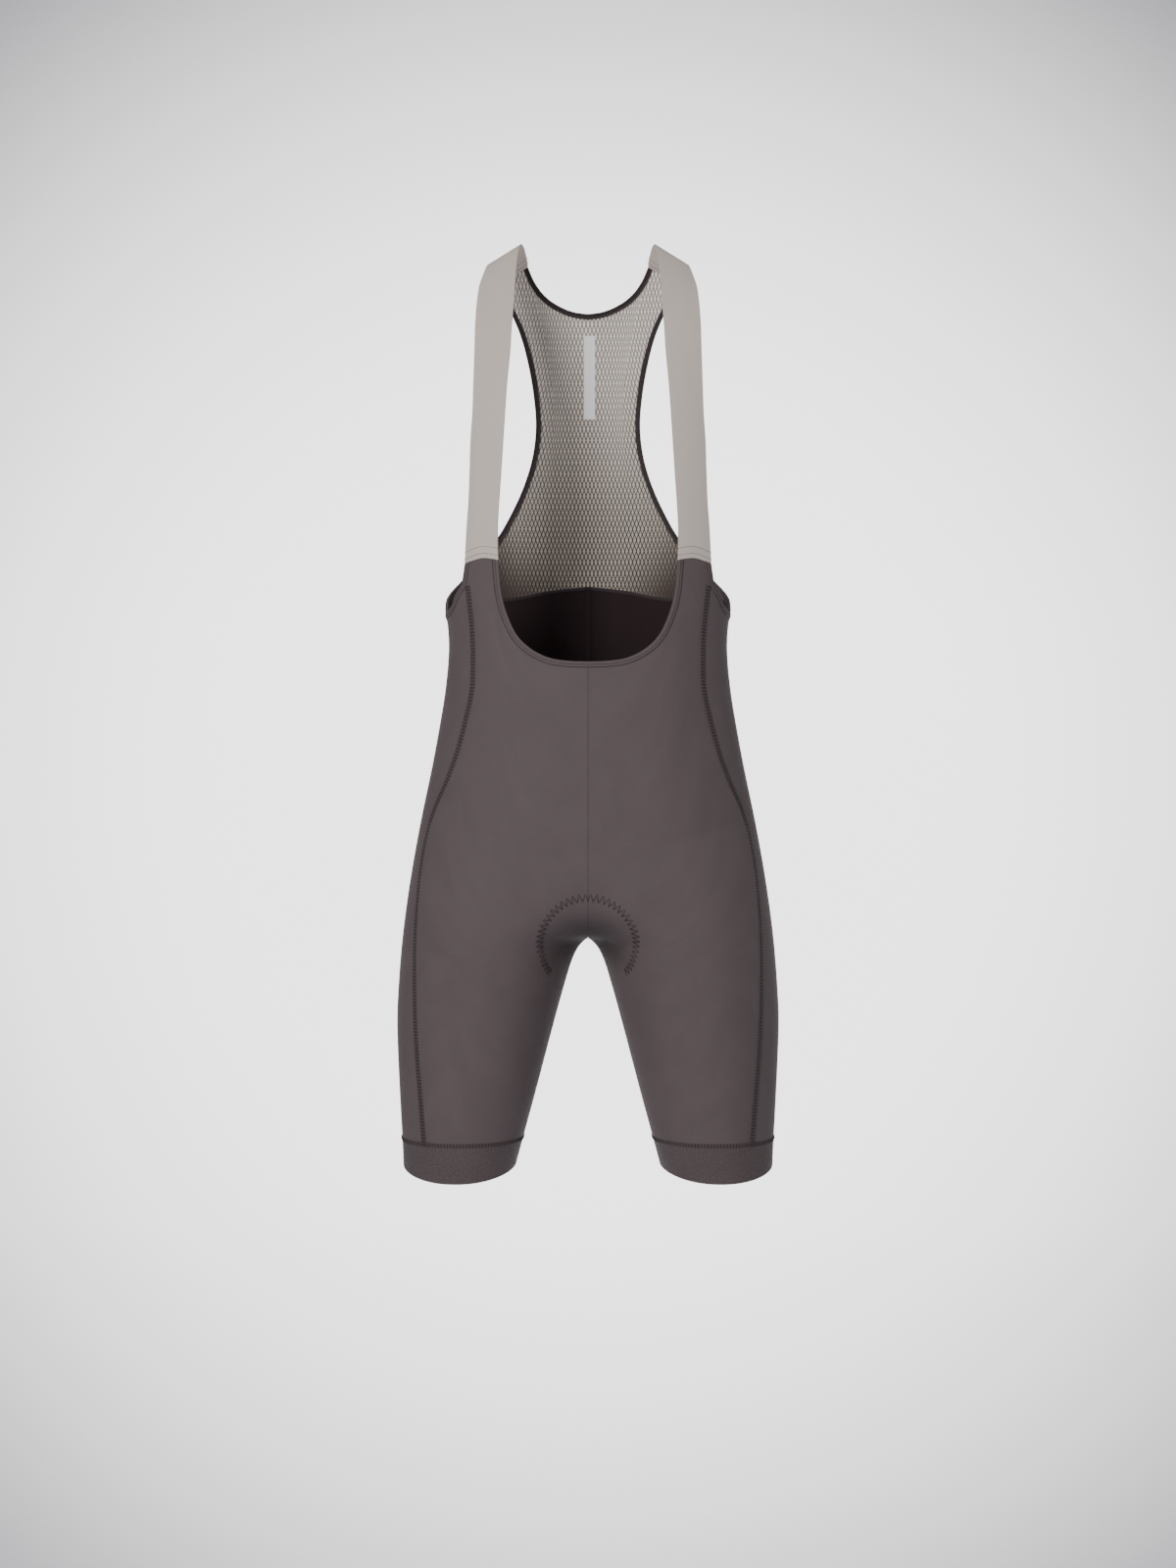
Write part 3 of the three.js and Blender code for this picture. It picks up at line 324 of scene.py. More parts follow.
class Body:
    """The surface of the cloth's outer face."""

    def __init__(self, form: Form) -> None:
        """Reads the tables.

        Args:
            form: the sizes of the whole form.
        """
        self.form = form
        self.side = Curve(SIDE)
        columns = {name: Curve([(row[0], row[k]) for row in DEPTH]) for k, name in enumerate(DEPTH_COLUMNS)}
        self.front, self.back = columns["front"], columns["back"]
        self.middle, self.square = columns["middle"], columns["square"]
        self.inseam = Curve([(z, math.hypot(x, form.middle_round)) for z, x in INSEAM])
        self.seam_x = Curve(SIDE_SEAM)

    def row(self, level: Array) -> tuple[Array, Array, Array]:
        """Works out where a level lies.

        Args:
            level: the levels.

        Returns:
            Their heights at the inner end and at the side, and the angle where the middle cuts them.
        """
        f = self.form
        part = np.clip(level - 1, 0, 1)
        cut = np.pi / 2 * (1 + part)
        share = 1 - np.abs(np.cos(cut)) ** (2 / self.square(f.crotch))
        rise = (f.trunk_foot_inner - f.crotch) * np.clip(share, 0, 1) ** f.crotch_box
        kinds = [level < 0, level <= 1, level <= 2, level <= 3]
        above = f.trunk_top - f.chart_step * level
        below = f.gripper_top - f.chart_step * (level - 3)
        inner = np.select(
            kinds,
            [above, lerp(f.trunk_top, f.trunk_foot_inner, level), f.crotch + rise,
             lerp(f.crotch, f.gripper_top, level - 2)],
            below,
        )
        outer = np.select(
            kinds,
            [above, lerp(f.trunk_top, f.trunk_foot_outer, level), lerp(f.trunk_foot_outer, f.crotch_row_outer, part),
             lerp(f.crotch_row_outer, f.gripper_top, level - 2)],
            below,
        )
        return inner, outer, cut

    def point(self, level: Array | float, turn: Array | float) -> Array:
        """Works out points of the surface.

        Args:
            level: levels, from below 0 at the shoulders to above 3 on the gripper.
            turn: turns, from -1 to 1.

        Returns:
            The points, with x, y and z last.
        """
        level, turn = np.broadcast_arrays(np.asarray(level, float), np.asarray(turn, float))
        inner, outer, cut = self.row(level)
        power = 2 / self.square((inner + outer) / 2)
        angle = turn * cut
        soft = self.form.middle_round
        start = np.where(cut < np.pi - 1e-9, soft, self.inseam(inner))
        end = np.hypot(self.side(outer), soft)
        beyond = np.where(cut > np.pi / 2 + 1e-12, np.abs(np.cos(cut)) ** power, 0)
        radius = (end - start) / (1 + beyond)
        cosine = np.cos(angle)
        across = start + beyond * radius + radius * np.sign(cosine) * np.abs(cosine) ** power
        z = outer + (inner - outer) * (end - across) / (end - start)
        sine = np.sin(angle)
        reach = np.where(sine < 0, self.middle(z) - self.front(z), self.back(z) - self.middle(z))
        y = self.middle(z) + reach * np.sign(sine) * np.abs(sine) ** power
        x = np.sqrt(np.maximum(across**2 - soft**2, 0))
        return np.stack([x, y, z], axis=-1)

    def slopes(self, spots: Spots) -> tuple[Array, Array]:
        """Works out the two directions of the surface.

        Args:
            spots: where.

        Returns:
            The changes of place down the levels and round the turns.
        """
        step, small = 0.004, 0.002
        level, turn = spots.level, spots.turn
        down = (self.point(level + step, turn) - self.point(level - step, turn)) / (2 * step)
        around = (self.point(level, turn + small) - self.point(level, turn - small)) / (2 * small)
        near = (self.row(level)[2] < np.pi - 1e-6) & (np.abs(turn) > 1 - small)
        edge = self.point(level, np.sign(turn) * (1 - small))[..., 0]
        zero = np.zeros_like(edge)
        level_round = np.stack([-np.sign(turn) * edge / small, zero, zero], axis=-1)
        return down, np.where(near[..., None], level_round, around)

    def normal(self, spots: Spots) -> Array:
        """Works out the outward directions of the surface.

        Args:
            spots: where.

        Returns:
            The directions, at length one.
        """
        normal = np.cross(*self.slopes(spots))
        middle = (self.row(spots.level)[2] < np.pi - 1e-6) & (np.abs(spots.turn) > 0.9999)
        normal[..., 0] = np.where(middle, 0, normal[..., 0])
        return unit(normal)

    def step_over(self, spots: Spots, direction: Array, length: float) -> Spots:
        """Steps over the surface.

        Args:
            spots: where to start.
            direction: the directions to go, in space.
            length: how far.

        Returns:
            The spots reached.
        """
        level, turn = spots.level.copy(), spots.turn.copy()
        for _ in range(3):
            down, around = self.slopes(Spots(level, turn))
            a, b, c = (np.sum(p * q, axis=-1) for p, q in ((down, down), (down, around), (around, around)))
            p, q = (np.sum(s * direction, axis=-1) * length / 3 for s in (down, around))
            whole = a * c - b * b
            level, turn = level + (p * c - q * b) / whole, turn + (q * a - p * b) / whole
        return Spots(level, turn)

    def trunk_spot(self, x: Array | float, z: Array | float, face: int) -> Spots:
        """Finds the spots of the trunk at some half widths and heights.

        Args:
            x: the half widths.
            z: the heights.
            face: the front (-1) or the back (+1).

        Returns:
            The spots.
        """
        x, z = np.broadcast_arrays(np.asarray(x, float), np.asarray(z, float))
        soft = self.form.middle_round
        end = np.hypot(self.side(z), soft)
        share = (np.hypot(x, soft) - soft) / (end - soft)
        angle = np.arccos(np.minimum(share, 1) ** (self.square(z) / 2))
        turn = np.where(x == 0, float(face), face * angle / (np.pi / 2))
        return Spots((self.form.trunk_top - z) / self.form.chart_step, turn)

    def crossing(self, level: Array, near: Array, far: Array,
                 inside: Callable[[Array], Array]) -> tuple[Array, Array]:
        """Finds where a line crosses some levels, by halving.

        Args:
            level: the levels.
            near: turns inside the line.
            far: turns outside it.
            inside: tells which points lie inside.

        Returns:
            The last turns inside and outside.
        """
        for _ in range(HALVINGS):
            turn = (near + far) / 2
            within = inside(self.point(level, turn))
            near, far = np.where(within, turn, near), np.where(within, far, turn)
        return near, far

    def seam_turn(self, level: Array | float) -> Array:
        """Finds the turn of the side seam on some levels."""
        level = np.asarray(level, float)
        start = -np.pi / 2 / self.row(level)[2]
        near, far = self.crossing(level, start, np.zeros_like(level), lambda p: p[..., 0] < self.seam_x(p[..., 2]))
        return (near + far) / 2

    def share_turns(self, level: float, start: float, end: float, shares: Array) -> Array:
        """Finds turns at shares of the length between two turns, kept half a seam from both ends.

        Args:
            level: the level.
            start: the first turn.
            end: the last turn.
            shares: the shares of the length between them.

        Returns:
            The turns.
        """
        crowd = 2.4

        def turns(part: Array) -> Array:
            """Goes from start to end, with the steps crowded towards the middle seam."""
            return lerp(start, end, part**crowd if abs(start) == 1 else 1 - (1 - part) ** crowd)

        u = np.linspace(0, 1, FINE.reach_samples)
        length = run_length(self.point(level, turns(u)))
        half = self.form.half_seam
        return turns(np.interp(half + shares * (length[-1] - 2 * half), length, u))

    def inset(self, spots: Spots, width: float) -> Spots:
        """Moves an edge over the surface, to the right of its run as seen from outside.

        Args:
            spots: the edge.
            width: how far to move it.

        Returns:
            The moved edge.
        """
        points = self.point(spots.level, spots.turn)
        index = np.arange(len(points))
        run = points[np.minimum(index + 1, len(points) - 1)] - points[np.maximum(index - 1, 0)]
        middle = np.abs(spots.turn) == 1
        run[middle] = (1, 0, 0)
        moved = self.step_over(spots, unit(np.cross(unit(run), self.normal(spots))), width)
        return Spots(moved.level, np.where(middle, spots.turn, moved.turn))

    def along(self, table: Sequence[tuple[float, float]], face: int, count: int) -> Spots:
        """Spaces spots along a smooth curve through a table of x and z."""
        path = smooth_path(np.array(table), count)
        return self.trunk_spot(np.maximum(path[:, 0], 0), path[:, 1], face)


@dataclass
class Sheet:
    """A net of four-sided cells with outward directions, depths below it and flat coordinates in millimetres."""

    points: Array
    normals: Array
    cells: Array
    flat: Array
    depths: Array

    @classmethod
    def grid(cls, points: Array, normals: Optional[Array] = None, depths: Optional[Array] = None) -> "Sheet":
        """Makes a sheet from rows of points.

        Args:
            points: rows by columns by 3.
            normals: outward directions, or None to take them from the net.
            depths: how much deeper the inner face lies at each point.

        Returns:
            The sheet, with flat coordinates measured along its rows and columns.
        """
        rows, columns = points.shape[:2]
        if normals is None:
            normals = unit(np.cross(np.gradient(points, axis=0), np.gradient(points, axis=1)))
        across = np.linalg.norm(np.diff(points, axis=1), axis=2)
        down = np.linalg.norm(np.diff(points, axis=0), axis=2)
        s = np.concatenate([np.zeros((rows, 1)), np.cumsum(across, axis=1)], axis=1)
        t = np.concatenate([np.zeros((1, columns)), np.cumsum(down, axis=0)], axis=0)
        a = (np.arange(rows - 1)[:, None] * columns + np.arange(columns - 1)).ravel()
        cells = np.stack([a, a + columns, a + columns + 1, a + 1], axis=1)
        flat = np.stack([s.ravel(), t.ravel()], axis=1)
        deep = np.zeros(rows * columns) if depths is None else depths.ravel()
        return cls(points.reshape(-1, 3), normals.reshape(-1, 3), cells, flat, deep)

    def mirrored(self) -> "Sheet":
        """Returns the mirror image."""
        flip, turned = np.array([-1.0, 1, 1]), np.array([-1.0, 1])
        return Sheet(self.points * flip, self.normals * flip, self.cells[:, ::-1], self.flat * turned, self.depths)

    def on(self, side: Side) -> "Sheet":
        """Returns the sheet for the wearer's left, or its mirror image for the right."""
        return self if side is Side.LEFT else self.mirrored()

    @staticmethod
    def join(*sheets: "Sheet") -> "Sheet":
        """Makes one sheet of several.

        Args:
            sheets: the sheets, which meet at their edges.

        Returns:
            The sheet, with points that lie within 0.02 mm made one.
        """
        starts = np.cumsum([0] + [len(s.points) for s in sheets])
        points = np.vstack([s.points for s in sheets])
        cells = np.vstack([s.cells + start for s, start in zip(sheets, starts)])
        _, first, place = np.unique(np.round(points * 50), axis=0, return_index=True, return_inverse=True)
        place = place.ravel()
        normals = np.zeros((len(first), 3))
        np.add.at(normals, place, np.vstack([s.normals for s in sheets]))
        flat = np.vstack([s.flat for s in sheets])[first]
        depths = np.concatenate([s.depths for s in sheets])[first]
        return Sheet(points[first], unit(normals), place[cells], flat, depths)

    def area(self) -> float:
        """Returns the area of the outer face in square metres."""
        a, b, c, d = (self.points[self.cells[:, k]] for k in range(4))
        return float(np.linalg.norm(np.cross(c - a, d - b), axis=1).sum() / 2) * MM * MM


def make_object(name: str, points: Array, faces: Array, materials: Sequence[bpy.types.Material]) -> bpy.types.Object:
    """Makes a mesh object.

    Args:
        name: its name.
        points: in millimetres.
        faces: four-sided.
        materials: the finishes.

    Returns:
        The object, in the scene.
    """
    mesh = bpy.data.meshes.new(name)
    mesh.from_pydata((points * MM).tolist(), [], faces.tolist())
    for material in materials:
        mesh.materials.append(material)
    mesh.shade_smooth()
    mesh.set_sharp_from_angle(angle=SHARP_ANGLE)
    thing = bpy.data.objects.new(name, mesh)
    bpy.context.scene.collection.objects.link(thing)
    return thing


@dataclass(frozen=True)
class Cloth:
    """How a sheet becomes a closed wall, and which finishes it takes."""

    outside: float
    inside: float
    outer: str
    inner: str
    slot: str


def build_wall(name: str, sheet: Sheet, cloth: Cloth, finishes: "Finishes") -> bpy.types.Object:
    """Makes a closed wall on a sheet.

    Args:
        name: the object's name.
        sheet: the net it follows.
        cloth: its faces' distances from the net and its finishes.
        finishes: the materials.

    Returns:
        The object, riding the frame.
    """
    count = len(sheet.points)
    outer = sheet.points + sheet.normals * cloth.outside
    inner = sheet.points + sheet.normals * (cloth.inside - sheet.depths)[:, None]
    cells = sheet.cells
    edges = np.stack([cells, np.roll(cells, -1, axis=1)], axis=2).reshape(-1, 2)
    _, place, seen = np.unique(np.sort(edges, axis=1), axis=0, return_inverse=True, return_counts=True)
    rim = edges[seen[place.ravel()] == 1]
    walls = np.stack([rim[:, 0] + count, rim[:, 1] + count, rim[:, 1], rim[:, 0]], axis=1)
    faces = np.vstack([cells, cells[:, ::-1] + count, walls])
    points = np.vstack([outer, inner])
    a, b, c, d = (points[faces[:, k]] for k in range(4))
    volume = np.sum(np.cross(a, b) * c + np.cross(a, c) * d)
    if volume < 0:
        faces = faces[:, ::-1]
    thing = make_object(name, points, faces, [finishes[cloth.outer], finishes[cloth.inner]])
    mesh = thing.data
    kinds = np.zeros(len(faces), np.int32)
    kinds[len(cells) : 2 * len(cells)] = 1
    mesh.polygons.foreach_set("material_index", kinds)
    layer = mesh.uv_layers.new(name="Flat")
    order = np.empty(len(mesh.loops), np.int32)
    mesh.loops.foreach_get("vertex_index", order)
    layer.data.foreach_set("uv", (sheet.flat[order % count] * MM).ravel())
    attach(thing, "root")
    log.info("%s: %d faces, %.4f square metres", name, len(faces), sheet.area())
    return thing


@dataclass
class Path:
    """A line over the cloth with the outward direction at each of its points."""

    points: Array
    outs: Array
    closed: bool = False

    def runs(self) -> Array:
        """Returns the direction of the line at each point."""
        if self.closed:
            return unit(np.roll(self.points, -1, axis=0) - np.roll(self.points, 1, axis=0))
        return unit(np.gradient(self.points, axis=0))

    def shifted(self, aside: float, lift: float) -> "Path":
        """Returns the line moved aside over the cloth and lifted off it."""
        sides = unit(np.cross(self.runs(), self.outs))
        return Path(self.points + sides * aside + self.outs * lift, self.outs, self.closed)

    def mirrored(self) -> "Path":
        """Returns the mirror image, run the other way so that its right stays its right."""
        flip = np.array([-1.0, 1, 1])
        return Path((self.points * flip)[::-1], (self.outs * flip)[::-1], self.closed)

    def on(self, side: Side) -> "Path":
        """Returns the line for the wearer's left, or its mirror image for the right."""
        return self if side is Side.LEFT else self.mirrored()

    def ribbon(self, width: float, rise: float, columns: int = 6) -> Sheet:
        """Makes a low raised band along the line.

        Args:
            width: of the band.
            rise: how high its middle stands.
            columns: how many cells it has across.

        Returns:
            The band's net.
        """
        aside = np.linspace(-width / 2, width / 2, columns + 1)
        path = self
        if self.closed:
            path = Path(np.vstack([self.points, self.points[:1]]), np.vstack([self.outs, self.outs[:1]]))
        sides = unit(np.cross(path.runs(), path.outs))
        if self.closed:
            ends = unit(np.cross(self.runs()[:1], self.outs[:1]))
            sides[0] = sides[-1] = ends[0]
        lift = rise * (1 - np.abs(2 * aside / width) ** 4)
        points = (path.points[:, None] + sides[:, None] * aside[None, :, None]
                  + path.outs[:, None] * lift[None, :, None])
        normals = np.repeat(path.outs[:, None], columns + 1, axis=1)
        sheet = Sheet.grid(points, normals)
        return Sheet.join(sheet) if self.closed else sheet


class Shader:
    """Short ways to add nodes to a material or a node group."""

    def __init__(self, tree: bpy.types.NodeTree) -> None:
        """Keeps the tree that the nodes go into."""
        self.tree = tree

    def node(self, kind: str, **settings: object) -> bpy.types.Node:
        """Adds a node and sets its properties."""
        node = self.tree.nodes.new(kind)
        for key, value in settings.items():
            setattr(node, key, value)
        return node

    def feed(self, socket: bpy.types.NodeSocket, value: object) -> None:
        """Links a socket to another, or sets its value."""
        if isinstance(value, bpy.types.NodeSocket):
            self.tree.links.new(value, socket)
        else:
            socket.default_value = value

    def fed(self, kind: str, values: dict[str | int, object], **settings: object) -> bpy.types.Node:
        """Adds a node, sets its properties and feeds its inputs.

        Args:
            kind: the node's type.
            values: a link or a value for each input, by name or index.
            settings: the node's properties.

        Returns:
            The node.
        """
        node = self.node(kind, **settings)
        for key, value in values.items():
            self.feed(node.inputs[key], value)
        return node

    def math(self, operation: str, *values: object) -> bpy.types.NodeSocket:
        """Adds a math node."""
        return self.fed("ShaderNodeMath", dict(enumerate(values)), operation=operation).outputs[0]

    def total(self, *values: object) -> bpy.types.NodeSocket:
        """Adds values up."""
        return reduce(lambda first, second: self.math("ADD", first, second), values)

    def times(self, *values: object) -> bpy.types.NodeSocket:
        """Multiplies values."""
        return reduce(lambda first, second: self.math("MULTIPLY", first, second), values)

    def less(self, value: object, much: object) -> bpy.types.NodeSocket:
        """Takes one value from another."""
        return self.math("SUBTRACT", value, much)

    def hypot(self, first: object, second: object) -> bpy.types.NodeSocket:
        """Returns the length of a line from its two reaches."""
        return self.math("SQRT", self.total(self.math("POWER", first, 2.0), self.math("POWER", second, 2.0)))

    def axes(self, vector: object) -> bpy.types.NodeOutputs:
        """Splits a vector into x, y and z."""
        return self.fed("ShaderNodeSeparateXYZ", {0: vector}).outputs

    def smooth(self, value: object, low: float, high: float) -> bpy.types.NodeSocket:
        """Rises smoothly from 0 at low to 1 at high."""
        values = {"Value": value, "From Min": low, "From Max": high}
        return self.fed("ShaderNodeMapRange", values, interpolation_type="SMOOTHSTEP").outputs["Result"]

    def mix(self, share: object, first: object, second: object) -> bpy.types.NodeSocket:
        """Mixes two colours."""
        return self.fed("ShaderNodeMix", {0: share, 6: first, 7: second}, data_type="RGBA").outputs[2]

    def noise(self, vector: object, scale: float, detail: float = 2.0) -> bpy.types.NodeSocket:
        """Adds a noise texture and returns its value."""
        return self.fed("ShaderNodeTexNoise", {"Vector": vector, "Scale": scale, "Detail": detail}).outputs["Fac"]

    def stretched(self, vector: object, x: float, y: float) -> bpy.types.NodeSocket:
        """Scales flat coordinates."""
        return self.fed("ShaderNodeMapping", {"Vector": vector, "Scale": (x, y, 1)}).outputs[0]


def new_group(name: str, inputs: dict[str, float], outputs: Sequence[str]) -> tuple[Shader, object, object]:
    """Makes an empty shader group with a Vector input, float inputs and float outputs.

    Args:
        name: the group's name.
        inputs: its float inputs, with their values.
        outputs: its outputs.

    Returns:
        The tree's shader, the group's input sockets and its output node.
    """
    tree = bpy.data.node_groups.new(name, "ShaderNodeTree")
    tree.interface.new_socket(name="Vector", in_out="INPUT", socket_type="NodeSocketVector")
    for key, value in inputs.items():
        socket = tree.interface.new_socket(name=key, in_out="INPUT", socket_type="NodeSocketFloat")
        socket.default_value = value
    for key in outputs:
        tree.interface.new_socket(name=key, in_out="OUTPUT", socket_type="NodeSocketFloat")
    shader = Shader(tree)
    return shader, shader.node("NodeGroupInput").outputs, shader.node("NodeGroupOutput")


def knit_grain_group() -> bpy.types.NodeTree:
    """A fine stretch knit: slubs along and across the cloth with a small loop grain."""
    s, given, end = new_group("KnitGrain", {"Loop pitch": 0.0011, "Slub": 0.5, "Speckle": 0.0}, ["Tone", "Height"])
    flat = given["Vector"]
    along, across = (s.noise(s.stretched(flat, *scale), 1.0, 3.0) for scale in ((220, 2600), (2400, 160)))
    grain = s.total(s.times(along, 0.5), s.times(across, 0.5))
    broad = s.times(s.less(s.noise(flat, 26.0, 3.0), 0.5), 0.22)
    speckle = s.times(s.less(s.noise(flat, 620.0, 1.0), 0.5), given["Speckle"])
    rib = s.math("SINE", s.times(s.math("DIVIDE", s.axes(flat)[0], given["Loop pitch"]), math.tau))
    s.feed(end.inputs["Tone"], s.total(s.times(s.less(grain, 0.5), given["Slub"]), broad, speckle, 1.0))
    s.feed(end.inputs["Height"], s.total(grain, speckle, s.times(rib, 0.18)))
    return s.tree


def open_knit_group() -> bpy.types.NodeTree:
    """A net of upright lens-shaped cells between two families of waving threads."""
    s, given, end = new_group("OpenKnit", {"Cell width": 0.004, "Cell length": 0.0113}, ["Cell", "Height"])
    flat = s.axes(given["Vector"])
    across = s.math("DIVIDE", flat[0], given["Cell width"])
    down = s.math("DIVIDE", flat[1], s.times(given["Cell length"], 2.0))
    curved = s.times(s.math("COSINE", s.times(down, math.tau)), 0.15)
    straight = s.less(s.math("ABSOLUTE", s.less(s.math("FRACT", down), 0.5)), 0.25)
    wave = s.total(curved, s.times(straight, 1.4))
    lines = []
    for operation in ("ADD", "SUBTRACT"):
        place = s.math("FRACT", s.total(s.math(operation, across, wave), 0.5))
        lines.append(s.math("ABSOLUTE", s.less(place, 0.5)))
    cell = s.smooth(s.math("MINIMUM", *lines), 0.05, 0.19)
    s.feed(end.inputs["Cell"], cell)
    s.feed(end.inputs["Height"], s.less(1.0, cell))
    return s.tree


def rib_group() -> bpy.types.NodeTree:
    """Elastic webbing: fine upright ribs crossed by finer picks."""
    s, given, end = new_group("ElasticRib", {"Rib pitch": 0.0012, "Pick pitch": 0.0007}, ["Tone", "Height"])
    flat = s.axes(given["Vector"])
    waves = []
    for axis, pitch, height in ((0, "Rib pitch", 0.5), (1, "Pick pitch", 0.3)):
        wave = s.math("SINE", s.times(s.math("DIVIDE", flat[axis], given[pitch]), math.tau))
        waves.append(s.times(wave, height))
    height = s.total(*waves)
    broad = s.times(s.less(s.noise(s.stretched(given["Vector"], 60, 8), 1.0), 0.5), 0.08)
    s.feed(end.inputs["Tone"], s.total(s.times(height, 0.03), broad, 1.0))
    s.feed(end.inputs["Height"], height)
    return s.tree


def colour(red: float, green: float, blue: float) -> tuple[float, float, float, float]:
    """Turns a screen colour of 0 to 255 into a scene colour."""
    parts = (c / 255 for c in (red, green, blue))
    return tuple(c / 12.92 if c <= 0.04045 else ((c + 0.055) / 1.055) ** 2.4 for c in parts) + (1.0,)


class Grain(Enum):
    """The group that gives a cloth its grain."""

    PLAIN = ""
    KNIT = "KnitGrain"
    NET = "OpenKnit"
    RIB = "ElasticRib"


@dataclass(frozen=True)
class Finish:
    """A cloth's colour, gloss and grain. Painted crotch shade is how much shade is painted into its colour between
    the legs.
    """

    tint: tuple[float, float, float]
    roughness: float = 0.75
    sheen: float = 0.0
    specular: float = 0.3
    bump: float = 0.3
    grain: Grain = Grain.KNIT
    slub: float = 0.3
    pitch: float = 0.0011
    speckle: float = 0.0
    painted_crotch_shade: float = 0.0


FINISHES = {
    "knit": Finish((94, 84, 85), 0.75, 0.05, 0.08, 0.12, slub=0.26, painted_crotch_shade=0.7),
    # Inside of the knit: a darker copy of the knit, painted shade for the garment's inside
    "knit_inside_shaded": Finish((42, 31, 33), 0.85, 0.02, 0.15, 0.2, slub=0.2),
    "gripper": Finish((84, 74, 75), 0.8, 0.08, 0.22, 0.5, slub=0.4, pitch=0.0015, speckle=0.9),
    # Inside of the gripper: a darker copy of the gripper, painted shade for the garment's inside
    "gripper_inside_shaded": Finish((52, 44, 45), 0.85, 0.05, 0.2, 0.3, slub=0.4),
    "elastic": Finish((203, 191, 181), 0.7, 0.2, 0.3, 0.12, Grain.RIB),
    "dark": Finish((52, 43, 45), 0.75, 0.15, 0.25, 0.25, slub=0.3),
    "open_knit": Finish((180, 170, 160), 0.8, 0.05, 0.2, 0.35, Grain.NET),
    "label": Finish((255, 255, 255), 0.55, 0.35, 0.3, 0.1, Grain.RIB, pitch=0.0004),
    "foam": Finish((58, 50, 52), 0.9, 0.3, 0.2, 0.3, slub=0.5),
    "band": Finish((77, 68, 69), 0.85, 0.1, 0.2, 0.3, slub=0.3),
    "thread": Finish((42, 33, 34), 0.7, 0.2, 0.3, 0.0, Grain.PLAIN),
    "thread_dark": Finish((36, 27, 29), 0.7, 0.2, 0.3, 0.0, Grain.PLAIN),
    "thread_light": Finish((108, 100, 100), 0.7, 0.2, 0.3, 0.0, Grain.PLAIN),
}


# Painted light and shade on the net: its top is painted light, as if the pale backdrop showed through, its foot
# painted shade, as if the dark inside showed through, and its lower corners a painted shadow of the straps and front
# panels
NET_PAINTED_LIGHT = {
    "cell_top": (250, 241, 232), "line_top": (132, 122, 114), "line_low": (44, 35, 33), "corner": (70, 60, 56),
}


